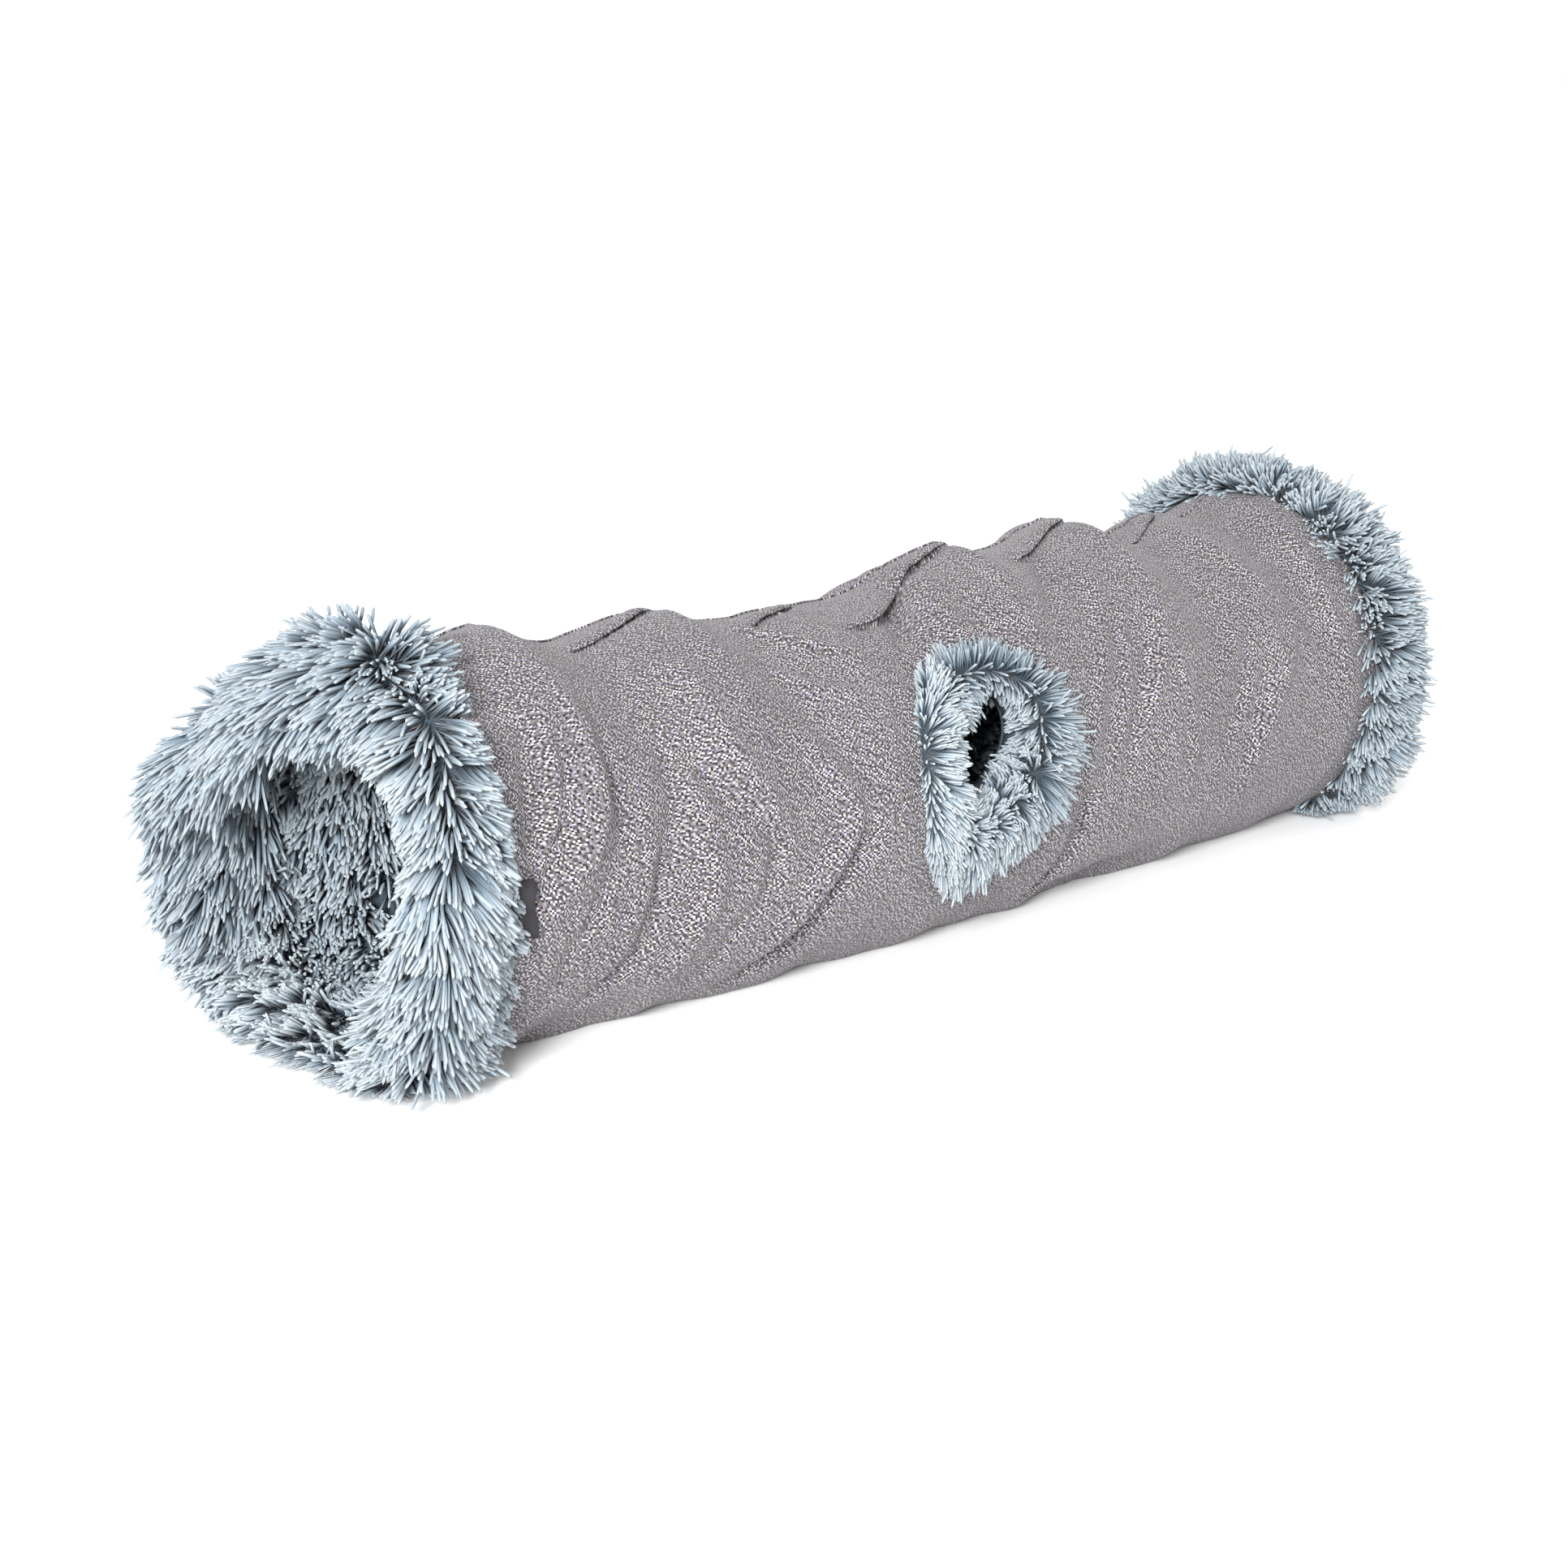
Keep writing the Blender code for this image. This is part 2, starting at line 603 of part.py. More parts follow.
def build():
    near_end = new_body("near_end", body_place(0.0))
    bodies = [near_end] + [new_body(f"turn_{k}", body_place(CREST_STATIONS[k])) for k in range(1, BAYS)]
    far_end = new_body("far_end", body_place(FABRIC_LENGTH))
    cutter = peephole_cutter()
    for bay in range(1, BAYS + 1):
        body = bodies[bay - 1]
        cover = bay_layer(f"cover_bay_{bay}", bay, 0.0, COVER_THICKNESS, WOVEN, body)
        lining = bay_layer(f"lining_bay_{bay}", bay, LINING_DEPTH, LINING_INNER_DEPTH, PLUSH_DARK, body)
        coil_turn(bay, body)
        if bay == peephole_bay():
            cut_peephole(cover, cutter)
            cut_peephole(lining, cutter)
            peephole_binding(body)
            peephole_trim(body)
    far_hoop_station = FABRIC_LENGTH - HOOP_INSET
    end_hoop("near_hoop", HOOP_INSET, NEAR_FERRULE_ANGLE, near_end)
    ferrule("near_ferrule", HOOP_INSET, NEAR_FERRULE_ANGLE, near_end)
    end_hoop("far_hoop", far_hoop_station, FAR_FERRULE_ANGLE, far_end)
    ferrule("far_ferrule", far_hoop_station, FAR_FERRULE_ANGLE, far_end)
    cuff("near_cuff", 0.0, -1, NEAR_CUFF_LENGTH, NEAR_CUFF_PROUD, NEAR_CUFF_INWARD,
         NEAR_CUFF_DROOP, near_cuff_shares, PLUSH, near_end)
    cuff("far_cuff", FABRIC_LENGTH, 1, FAR_CUFF_LENGTH, FAR_CUFF_PROUD, FAR_CUFF_INWARD,
         FAR_CUFF_DROOP, far_cuff_shares, PLUSH, far_end)
    side_label(near_end)
    for number, angle in enumerate(FASTENER_ANGLES, start=1):
        place = loop_place(angle)
        elastic_loop(number, new_body(f"loop_{number}_root", place), place)
        place = toggle_place(angle)
        root = new_body(f"toggle_{number}_root", place)
        toggle_cord(number, root, place)
        toggle(number, root, place)


build()
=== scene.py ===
"""Looks of a collapsible cat tunnel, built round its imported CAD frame.

Metres, +Z up. X runs along the tunnel, from the deep plush cuff at -X to the short one at +X,
and -Y is the side with the peephole. A station is a distance along the cover from the near seam.
An angle is in degrees round the tunnel: 0 at the peephole's side, 90 at the top, 180 at the back
and 270 at the floor. A depth is a distance in from the cover's outer face.
"""

import functools
import math

import bpy
import numpy as np
from mathutils import Matrix, Vector


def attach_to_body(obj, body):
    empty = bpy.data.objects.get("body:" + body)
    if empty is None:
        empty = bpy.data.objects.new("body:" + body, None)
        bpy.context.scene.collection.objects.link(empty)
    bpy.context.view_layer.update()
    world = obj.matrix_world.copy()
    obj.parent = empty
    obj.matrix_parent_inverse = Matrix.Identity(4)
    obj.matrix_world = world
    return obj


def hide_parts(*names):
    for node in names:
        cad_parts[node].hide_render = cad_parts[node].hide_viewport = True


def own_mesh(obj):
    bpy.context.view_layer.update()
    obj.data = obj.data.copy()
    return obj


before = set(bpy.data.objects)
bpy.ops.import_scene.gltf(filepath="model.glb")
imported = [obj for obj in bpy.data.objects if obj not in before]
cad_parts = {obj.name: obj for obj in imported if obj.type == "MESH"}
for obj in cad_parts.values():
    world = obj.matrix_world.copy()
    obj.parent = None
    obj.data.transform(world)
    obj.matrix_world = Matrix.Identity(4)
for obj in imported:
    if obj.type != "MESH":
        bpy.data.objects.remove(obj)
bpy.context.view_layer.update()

# Sizes of the tunnel, as in its CAD source
HOOP_RADIUS = 0.150
FABRIC_LENGTH = 0.960
REST_HALF_WIDTH = 0.057
NEAR_FLARE = 0.005
BOW = 0.022
bow_balance_share = 0.15
crest_shares = (0.0, 0.107, 0.270, 0.398, 0.582, 0.738, 0.887, 1.0)
first_turn_share = 11 / 32
CREST_DROP = 0.024
crest_drop_shares = (0.0, 0.05, 0.45, 1.1, -0.08, -0.14, 0.36, 0.0)
# The facets of the CAD sag by 32 mm. The laps that fill the valleys leave less to be seen
SHOWN_TOP_SAG = 0.020
bay_sag_shares = (1.0, 0.75, 0.45, 0.55, 0.6, 1.0, 1.0)
SIDE_SAG = 0.008
LOW_BULGE = 0.006
sag_width_power = 1.5
SAG_SKEW = 0.3
COVER_THICKNESS = 0.0015
WIRE_RADIUS = 0.00125
WIRE_CLEARANCE = 0.0014
LINING_BACKING = 0.003
NEAR_CUFF_LENGTH = 0.105
FAR_CUFF_LENGTH = 0.050
PEEPHOLE_STATION = 0.4635 * FABRIC_LENGTH
PEEPHOLE_ANGLE = 12.0

AXIS_HEIGHT = math.sqrt(HOOP_RADIUS ** 2 - REST_HALF_WIDTH ** 2)
TURNS = len(crest_shares) - 1
MEAN_PITCH = FABRIC_LENGTH / TURNS
TOTAL_LENGTH = NEAR_CUFF_LENGTH + FABRIC_LENGTH + FAR_CUFF_LENGTH
NEAR_SEAM_X = NEAR_CUFF_LENGTH - TOTAL_LENGTH / 2
CREST_STATIONS = np.array(crest_shares) * FABRIC_LENGTH
WIRE_DEPTH = COVER_THICKNESS + WIRE_CLEARANCE + WIRE_RADIUS
LINING_DEPTH = WIRE_DEPTH + WIRE_RADIUS + WIRE_CLEARANCE

# Folds that the photograph shows on the peephole's side: how far each stands out of the cover in
# mm (less than 0 for a crease), its half width in mm, and its line in (station in mm, degrees)
folds = (
    (6.0, 9, ((96, 58), (92, 51), (88, 38), (85, 26), (79, 18), (60, 6), (40, -2), (20, -12))),
    (3.0, 5, ((66, 48), (59, 39), (52, 30), (46, 21), (34, 12), (24, 2))),
    (-4.0, 5, ((84, 54), (80, 47), (65, 31), (54, 18), (37, 9), (17, -1), (4, -8))),
    (-5.5, 9, ((52, 50), (46, 40), (30, 24), (26, 14), (14, 4))),
    (-4.0, 8, ((97, 40), (97, 29), (101, 17), (92, 5), (73, -7), (53, -19), (45, -31), (30, -40))),
    (3.0, 8, ((128, 26), (123, 16), (120, 5), (112, -9), (99, -21), (84, -32))),
    (-5.0, 8, ((156, 40), (152, 27), (150, 14), (136, 1), (128, -13), (118, -26), (91, -36),
               (70, -44))),
    (5.0, 11, ((160, 26), (169, 13), (175, -2), (175, -11), (166, -21), (154, -33), (140, -42))),
    (4.5, 13, ((205, 66), (204, 54), (203, 35), (211, 21), (227, 11), (240, 0))),
    (-4.5, 8, ((172, 34), (181, 23), (193, 14), (216, 7), (231, -2), (236, -14))),
    (-4.0, 9, ((232, 4), (226, -5), (224, -15), (205, -26), (194, -37), (180, -46))),
    (7.0, 12, ((270, 34), (284, 23), (297, 13), (309, 3), (301, -6), (286, -14), (266, -23),
               (245, -32), (228, -40))),
    (-6.5, 10, ((322, 8), (315, -4), (306, -12), (288, -21), (275, -32), (262, -41),
                (244, -49), (222, -56))),
    (4.5, 8, ((300, 84), (312, 74), (330, 64), (352, 57), (378, 54))),
    (3.5, 7, ((284, 54), (296, 49), (313, 42), (335, 40), (350, 36))),
    (-8.0, 10, ((478, 92), (470, 84), (452, 74), (438, 62), (430, 54))),
    (7.0, 16, ((505, 86), (492, 80), (474, 63), (470, 50), (474, 40))),
    (-4.0, 9, ((639, 89), (615, 74), (593, 60), (566, 47), (556, 34))),
    (4.0, 10, ((654, 72), (626, 48), (602, 32), (580, 19), (564, 2), (556, -12))),
    (3.0, 6, ((650, 50), (636, 39), (617, 20), (598, 1), (590, -8))),
    (-3.5, 5, ((668, 44), (651, 30), (630, 16), (613, -3), (604, -14))),
    (3.5, 6, ((684, 42), (668, 29), (644, 15), (622, 2), (612, -6))),
    (2.5, 6, ((680, 34), (685, 20), (692, 1), (698, -21), (700, -32))),
    (3.0, 8, ((790, 38), (771, 26), (743, 14), (703, 0), (690, -8))),
    (-3.0, 6, ((794, 30), (782, 21), (764, 7), (741, -10), (728, -20))),
    (4.5, 9, ((868, 32), (846, 21), (806, 4), (786, -11), (783, -25), (780, -36))),
    (-2.5, 7, ((812, 26), (799, 15), (782, -1), (772, -12))),
    (3.0, 8, ((812, 84), (815, 70), (824, 50), (857, 31), (876, 15), (884, 2))),
    (3.0, 8, ((938, 84), (931, 73), (918, 47), (914, 24), (920, 10), (924, -4))),
    (-8.0, 9, ((566, -8), (565, -20), (562, -35), (555, -46), (548, -56))),
    (-7.0, 26, ((560, -54), (600, -56), (650, -56), (700, -54), (730, -50))),
    (-6.0, 26, ((40, -52), (80, -54), (120, -55), (150, -52))),
)

# Laps, where the slack cloth folds over itself on the near slopes of the crests: height of the
# step and its half width in mm, and its line. The upper layer lies on the higher angles' side
laps = (
    (6.5, 14, ((386, 69), (402, 71), (430, 73), (446, 78), (474, 87), (506, 93), (540, 96),
               (572, 98))),
    (5.0, 11, ((600, 80), (628, 85), (656, 90), (684, 95), (718, 98))),
    (4.0, 10, ((766, 84), (790, 89), (815, 94), (848, 99))),
    (4.0, 10, ((148, 82), (178, 87), (212, 93), (236, 97), (262, 100))),
    (4.0, 10, ((304, 79), (336, 88), (366, 94), (394, 99))),
)

# What one unit of such a line is in metres: along the tunnel and round it
LINE_UNITS = (0.001, math.radians(1.0) * HOOP_RADIUS)

# Camera, fitted to the two seams, the crests and the lower outline of the cover
CAMERA_LENS_MM = 65.0
CAMERA_AZIMUTH = -42.88
CAMERA_ELEVATION = 15.22
CAMERA_DISTANCE = 2.24
CAMERA_TARGET = Vector((-0.0658, 0.0033, 0.1198))


def in_scene(name, data):
    """A new object in the scene, at the origin."""
    piece = bpy.data.objects.new(name, data)
    bpy.context.scene.collection.objects.link(piece)
    return piece


def add_camera():
    azimuth, elevation = math.radians(CAMERA_AZIMUTH), math.radians(CAMERA_ELEVATION)
    back = Vector((math.sin(azimuth) * math.cos(elevation),
                   -math.cos(azimuth) * math.cos(elevation), math.sin(elevation)))
    data = bpy.data.cameras.new("camera")
    data.lens = CAMERA_LENS_MM
    data.sensor_width = 36.0
    data.clip_start = 0.05
    camera = in_scene("camera", data)
    camera.location = CAMERA_TARGET + back * CAMERA_DISTANCE
    camera.rotation_euler = back.to_track_quat("Z", "Y").to_euler()
    bpy.context.scene.camera = camera


# Nodes, for materials and geometry alike

MATH = "ShaderNodeMath"
VECTOR = "ShaderNodeVectorMath"
COMBINE = "ShaderNodeCombineXYZ"
SEPARATE = "ShaderNodeSeparateXYZ"
ATTRIBUTE = "ShaderNodeAttribute"
MIX = "ShaderNodeMix"
RAMP = "ShaderNodeValToRGB"
NOISE = "ShaderNodeTexNoise"
WAVE = "ShaderNodeTexWave"
CHANCE = "FunctionNodeRandomValue"
STORED = "GeometryNodeInputNamedAttribute"
STORE = "GeometryNodeStoreNamedAttribute"
SET_POSITION = "GeometryNodeSetPosition"


def fill(made, inputs):
    """Links or sets a node's inputs by name or number.

    A node that is given as an input lends its first output in use.
    """
    for key, value in inputs.items():
        if isinstance(value, bpy.types.Node):
            value = next(socket for socket in value.outputs if socket.enabled)
        if isinstance(value, bpy.types.NodeSocket):
            made.id_data.links.new(value, made.inputs[key])
        else:
            made.inputs[key].default_value = value


def node(tree, kind, *inputs, **settings):
    """Adds a node with its settings, and fills its inputs in order, or by name from a dict."""
    made = tree.nodes.new(kind)
    for name, value in settings.items():
        setattr(made, name, value)
    for number, value in enumerate(inputs):
        fill(made, value if isinstance(value, dict) else {number: value})
    return made


def linear(hex_color):
    """An sRGB hex colour as linear light, with full alpha."""
    parts = [int(hex_color[k:k + 2], 16) / 255 for k in (1, 3, 5)]
    light = [p / 12.92 if p <= 0.04045 else ((p + 0.055) / 1.055) ** 2.4 for p in parts]
    return (*light, 1.0)


def new_material(name):
    """A material, what adds a node to it, and its shader."""
    material = bpy.data.materials.new(name)
    material.use_nodes = True
    tree = material.node_tree
    return material, functools.partial(node, tree), tree.nodes["Principled BSDF"]


def set_stops(ramp, stops):
    """Gives a ramp its (place, hex colour) stops."""
    elements = ramp.color_ramp.elements
    while len(elements) < len(stops):
        elements.new(0.5)
    for element, (place, color) in zip(elements, stops):
        element.position = place
        element.color = linear(color)
    return ramp


# Materials

YARN_PITCH = 0.0014
FLECK_SWING = 0.78
STITCH_ROW_OFFSET = 0.0045
STITCH_HALF_WIDTH = 0.0006


def woven_polyester():
    """Chunky plain-woven polyester: each crossing shows one yarn, black, grey or near white."""
    material, add, shader = new_material("woven_heathered_polyester")
    place = add("ShaderNodeUVMap", uv_map="cloth")
    yarns = add(VECTOR, place, {"Scale": 1 / YARN_PITCH}, operation="SCALE")
    cell = add(VECTOR, yarns, operation="FLOOR")
    fleck = add("ShaderNodeTexWhiteNoise", cell, noise_dimensions="2D")
    # A crossing looks lighter for the darker yarns beside it, so that no blotches form
    tone = add(MATH, fleck.outputs["Value"], FLECK_SWING, 0.5, operation="MULTIPLY_ADD")
    for beside in ((0.0, 1.0, 0.0), (1.0, 0.0, 0.0)):
        other = add(VECTOR, cell, beside, operation="ADD")
        other = add("ShaderNodeTexWhiteNoise", other, noise_dimensions="2D")
        tone = add(MATH, other.outputs["Value"], -FLECK_SWING / 2, tone, operation="MULTIPLY_ADD")
    color = set_stops(add(RAMP, tone), (
        (0.05, "#111012"), (0.30, "#39383a"), (0.50, "#5a585b"), (0.70, "#7e7c7f"),
        (0.95, "#b6b4b5")))
    # Some yarns are a little warmer and some a little bluer
    hue = set_stops(add(RAMP, fleck.outputs["Color"]), (
        (0.0, "#fff1dd"), (0.5, "#fffcfd"), (1.0, "#e6e9ff")))
    # Broad, faint patches, where the cloth has been handled
    patches = add(NOISE, place, {"Scale": 14.0, "Detail": 4.0})
    worn = set_stops(add(RAMP, patches), ((0.3, "#f2f0f2"), (0.7, "#ffffff")))
    for tint in (hue, worn):
        color = add(MIX, {0: 1.0, 6: color, 7: tint}, data_type="RGBA",
                    blend_type="MULTIPLY").outputs[2]
    # Two rows of stitches hold the casing of the wire, one to each side of it
    beside = add(ATTRIBUTE, attribute_name="wire_distance").outputs["Fac"]
    row = add(MATH, beside, STITCH_ROW_OFFSET, STITCH_HALF_WIDTH, operation="COMPARE")
    sewn = add(MIX, {0: row, 6: color, 7: linear("#5f5d60")}, data_type="RGBA")
    # The yarns stand up as rows of small crowns, higher where one passes over the other
    turns = add(VECTOR, yarns, {"Scale": math.pi}, operation="SCALE")
    crown = add(SEPARATE, add(VECTOR, turns, operation="SINE")).outputs
    across = add(MATH, crown["X"], crown["Y"], operation="MULTIPLY")
    crest = add(MATH, across, operation="ABSOLUTE")
    uneven = add(MATH, crest, tone, operation="ADD")
    pressed = add(MATH, uneven, row, operation="SUBTRACT")
    bump = add("ShaderNodeBump", {"Strength": 0.12, "Distance": 0.0004, "Height": pressed})
    fill(shader, {
        "Base Color": sewn.outputs[2], "Normal": bump, "Roughness": 0.85,
        "Specular IOR Level": 0.15, "Sheen Weight": 0.1, "Sheen Roughness": 0.6})
    return material


def plush_fibre():
    """Long acrylic pile: slate at the root, paling to almost white at the tips. The dark roots are
    partly the fibre's own tone and partly painted shade deep among the tufts.
    """
    material, add, shader = new_material("long_pile_plush")
    along = add(ATTRIBUTE, attribute_name="along").outputs["Fac"]
    tint = add(ATTRIBUTE, attribute_name="tint").outputs["Fac"]
    # The darkest stops, at the roots, are partly painted shade between the tufts
    cool = set_stops(add(RAMP, along), (
        (0.0, "#27343f"), (0.35, "#42525f"), (0.65, "#657480"), (0.88, "#838f98"),
        (1.0, "#929ba1")))
    pale = set_stops(add(RAMP, along), (
        (0.0, "#384651"), (0.30, "#5b6975"), (0.58, "#84919a"), (0.80, "#9ba5ab"),
        (1.0, "#a8afb3")))
    mixed = add(MIX, {0: tint, 6: cool, 7: pale}, data_type="RGBA")
    fill(shader, {"Base Color": mixed.outputs[2], "Roughness": 0.75, "Specular IOR Level": 0.12,
                  "Sheen Weight": 0.15})
    return material


def patterned(name, kind, sizes, stops, bump, finish, **settings):
    """A material whose tone, and relief if it has any, follow one fine pattern."""
    material, add, shader = new_material(name)
    place = add("ShaderNodeTexCoord").outputs["Object"]
    pattern = add(kind, {"Vector": place, **sizes}, **settings)
    fill(shader, {"Base Color": set_stops(add(RAMP, pattern), stops), **finish})
    if bump:
        relief = add("ShaderNodeBump", {**bump, "Height": pattern.outputs["Fac"]})
        fill(shader, {"Normal": relief})
    return material


# Shape of the slack tube

def axis_y(station):
    share = np.clip(np.asarray(station, float) / FABRIC_LENGTH, 0.0, 1.0)
    return BOW * (bow_balance_share - np.sin(math.pi * share))


def turn_station(turn):
    """Station of the coil's wire after so many turns. Whole turns lie at the top."""
    return np.interp(turn, [first_turn_share] + list(range(1, TURNS + 1)), CREST_STATIONS)


def wire_stations(angle):
    """Stations where the wire and both end hoops cross one line along the cover."""
    offset = ((angle - 90.0) % 360.0) / 360.0
    turns = [whole + offset for whole in range(TURNS) if whole + offset > first_turn_share]
    return np.array([0.0, *turn_station(turns), FABRIC_LENGTH])


def between_wires(stations, angle):
    """How much each station hangs between its two wires, and how far it is from the nearer one."""
    wires = wire_stations(angle)
    i = np.clip(np.searchsorted(wires, stations, side="right") - 1, 0, len(wires) - 2)
    width = np.maximum(wires[i + 1] - wires[i], 2 * WIRE_RADIUS)
    share = np.clip((stations - wires[i]) / width, 0.0, 1.0)
    slack = np.minimum((width / MEAN_PITCH) ** sag_width_power, 1.0)
    skew = 1.0 - SAG_SKEW * max(math.sin(math.radians(angle)), 0.0) ** 2
    hang = slack * np.sin(math.pi * share ** skew) ** 2
    return hang, np.minimum(share, 1.0 - share) * width


def slack_line(stations, angle):
    """The cover's radius along one line of it."""
    hang = between_wires(stations, angle)[0]
    rise = math.sin(math.radians(angle))
    if rise > 0:
        bay_middles = (CREST_STATIONS[1:] + CREST_STATIONS[:-1]) / 2
        top_sag = SHOWN_TOP_SAG * np.interp(stations, bay_middles, bay_sag_shares)
        reach = SIDE_SAG + (top_sag - SIDE_SAG) * rise ** sag_width_power
    else:
        reach = SIDE_SAG * (1.0 + rise) + LOW_BULGE * rise
    drops = np.interp(stations, CREST_STATIONS, np.array(crest_drop_shares) * CREST_DROP)
    flare = NEAR_FLARE * np.clip(1.0 - stations / CREST_STATIONS[1], 0.0, 1.0)
    return HOOP_RADIUS + flare - reach * hang - drops * max(rise, 0.0)


def stroke_distance(stations, arcs, line):
    """Distance of each grid point to a line on the cover, its side, and how far along it is."""
    points = np.array(line, float) * LINE_UNITS
    steps = np.linalg.norm(np.diff(points, axis=0), axis=1)
    before = np.concatenate([[0.0], np.cumsum(steps)])
    nearest = np.full((len(stations), len(arcs)), np.inf)
    along = np.zeros_like(nearest)
    side = np.zeros_like(nearest)
    round_trip = 2 * math.pi * HOOP_RADIUS
    for k, step in enumerate(steps):
        start, way = points[k], (points[k + 1] - points[k]) / step
        ds = stations[:, None] - start[0]
        da = (arcs[None, :] - start[1] + round_trip / 2) % round_trip - round_trip / 2
        t = np.clip(ds * way[0] + da * way[1], 0.0, step)
        distance = np.hypot(ds - t * way[0], da - t * way[1])
        closer = distance < nearest
        nearest = np.where(closer, distance, nearest)
        along = np.where(closer, (before[k] + t) / before[-1], along)
        side = np.where(closer, way[0] * da - way[1] * ds, side)
    return nearest, side, along


HIDDEN_FOLDS = 34


def hidden_folds():
    """Folds for the back and the underside, which the photograph doesn't show."""
    drawn = []
    random = np.random.default_rng(11)
    for number in range(HIDDEN_FOLDS):
        station = 40 + 880 * (number + random.uniform(0.1, 0.9)) / HIDDEN_FOLDS
        angle = random.uniform(118, 235)
        lean = random.uniform(-0.9, 0.9)
        reach = random.uniform(22, 48)
        curl = random.choice((-1, 1)) * 0.012
        line = [(min(max(station + lean * a + curl * a * a, 6), 954), angle + a)
                for a in np.linspace(-reach, reach, 6)]
        height = random.choice((-1, 1)) * random.uniform(2.0, 5.5)
        drawn.append((height, random.uniform(6, 12), line))
    return drawn


RIPPLE_WAVES = 40
RIPPLE_HEIGHT = 0.0003


def ripples(stations, angles):
    """Low, irregular unevenness of the hung cloth."""
    random = np.random.default_rng(5)
    total = np.zeros((len(stations), len(angles)))
    turn = np.radians(angles)
    for _ in range(RIPPLE_WAVES):
        round_count = random.integers(2, 24)
        along_count = random.uniform(4, 110)
        phase, tilt = random.uniform(0, 2 * math.pi, 2)
        total += np.sin(round_count * turn[None, :] + phase
                        + along_count * stations[:, None] + tilt) / math.sqrt(round_count)
    return total * RIPPLE_HEIGHT


COLUMNS = 270
ROWS = 300
GRID_STATIONS = np.linspace(0.0, FABRIC_LENGTH, ROWS + 1)
GRID_ANGLES = 90.0 + 360.0 * np.arange(COLUMNS) / COLUMNS
WIRE_RIDGE = 0.0012
WIRE_RIDGE_HALF_WIDTH = 0.0045
FOLD_GAIN = 1.5
# The unevenness fades out over this length beside each seam
SEAM_HOLD = 0.02


def relief_grid():
    """The cover's radius at every row and column, with its sag, folds and laps."""
    radius = np.stack([slack_line(GRID_STATIONS, a) for a in GRID_ANGLES], axis=1)
    beside = np.stack([between_wires(GRID_STATIONS, a)[1] for a in GRID_ANGLES], axis=1)
    radius += WIRE_RIDGE * np.exp(-(beside / WIRE_RIDGE_HALF_WIDTH) ** 2)
    arcs = np.radians(GRID_ANGLES) * HOOP_RADIUS
    for height, half_width, line in (*folds, *hidden_folds()):
        distance, _, along = stroke_distance(GRID_STATIONS, arcs, line)
        fade = np.sqrt(np.clip(np.sin(math.pi * along), 0.0, 1.0))
        swell = np.exp(-(distance / (0.001 * half_width)) ** 2)
        radius += FOLD_GAIN * 0.001 * height * swell * fade
    for height, half_width, line in laps:
        distance, side, along = stroke_distance(GRID_STATIONS, arcs, line)
        fade = np.clip(np.sin(math.pi * np.clip(along, 0.0, 1.0)) * 2.0, 0.0, 1.0)
        over = np.exp(-distance / (0.001 * half_width))
        under = -0.9 * np.exp(-(distance / (0.0007 * half_width)) ** 2)
        radius += 0.001 * height * np.where(side > 0, over, under) * fade
    from_seam = np.minimum(GRID_STATIONS, FABRIC_LENGTH - GRID_STATIONS)
    held = np.clip(from_seam / SEAM_HOLD, 0.0, 1.0)
    return radius + ripples(GRID_STATIONS, GRID_ANGLES) * held[:, None], beside


RELIEF, BESIDE_WIRE = relief_grid()


def cover_radius(station, angle):
    """The cover's radius anywhere, read between the rows and columns of the relief."""
    row = np.clip(np.asarray(station, float) / FABRIC_LENGTH, 0.0, 1.0) * ROWS
    column = ((np.asarray(angle, float) - 90.0) % 360.0) / 360.0 * COLUMNS
    r0 = np.minimum(row.astype(int), ROWS - 1)
    c0 = column.astype(int) % COLUMNS
    c1 = (c0 + 1) % COLUMNS
    down, across = row - r0, column - column.astype(int)
    low = RELIEF[r0, c0] * (1 - across) + RELIEF[r0, c1] * across
    high = RELIEF[r0 + 1, c0] * (1 - across) + RELIEF[r0 + 1, c1] * across
    return low * (1 - down) + high * down


def tube_points(station, angle, radius, floor):
    """Points at a radius round the tunnel's axis, kept above the floor layer they rest on."""
    turn = np.radians(angle)
    x = NEAR_SEAM_X + station + 0 * turn
    y = axis_y(station) - radius * np.cos(turn)
    z = AXIS_HEIGHT + radius * np.sin(turn)
    return np.stack(np.broadcast_arrays(x, y, np.maximum(z, floor)), axis=-1)


def layer(station, angle, depth):
    return tube_points(station, angle, cover_radius(station, angle) - depth, np.maximum(depth, 0.0))


# Making of meshes

def mesh_object(name, vertices, faces, material=None):
    mesh = bpy.data.meshes.new(name)
    mesh.from_pydata(np.asarray(vertices).reshape(-1, 3).tolist(), [], faces)
    mesh.shade_smooth()
    if material:
        mesh.materials.append(material)
    return in_scene(name, mesh)


def strip_faces(m, n, capped=True):
    """Quads between m rows of n points, closed round the rows, with a face over each end."""
    faces = [[i * n + j, i * n + (j + 1) % n, (i + 1) * n + (j + 1) % n, (i + 1) * n + j]
             for i in range(m - 1) for j in range(n)]
    if capped:
        faces += [list(range(n - 1, -1, -1)), list(range((m - 1) * n, m * n))]
    return faces


def set_cloth_places(piece, places):
    """Where each corner of each face lies on the flat cloth, in metres, for its weave."""
    places = places.astype(np.float32).ravel()
    piece.data.uv_layers.new(name="cloth").data.foreach_set("uv", places)


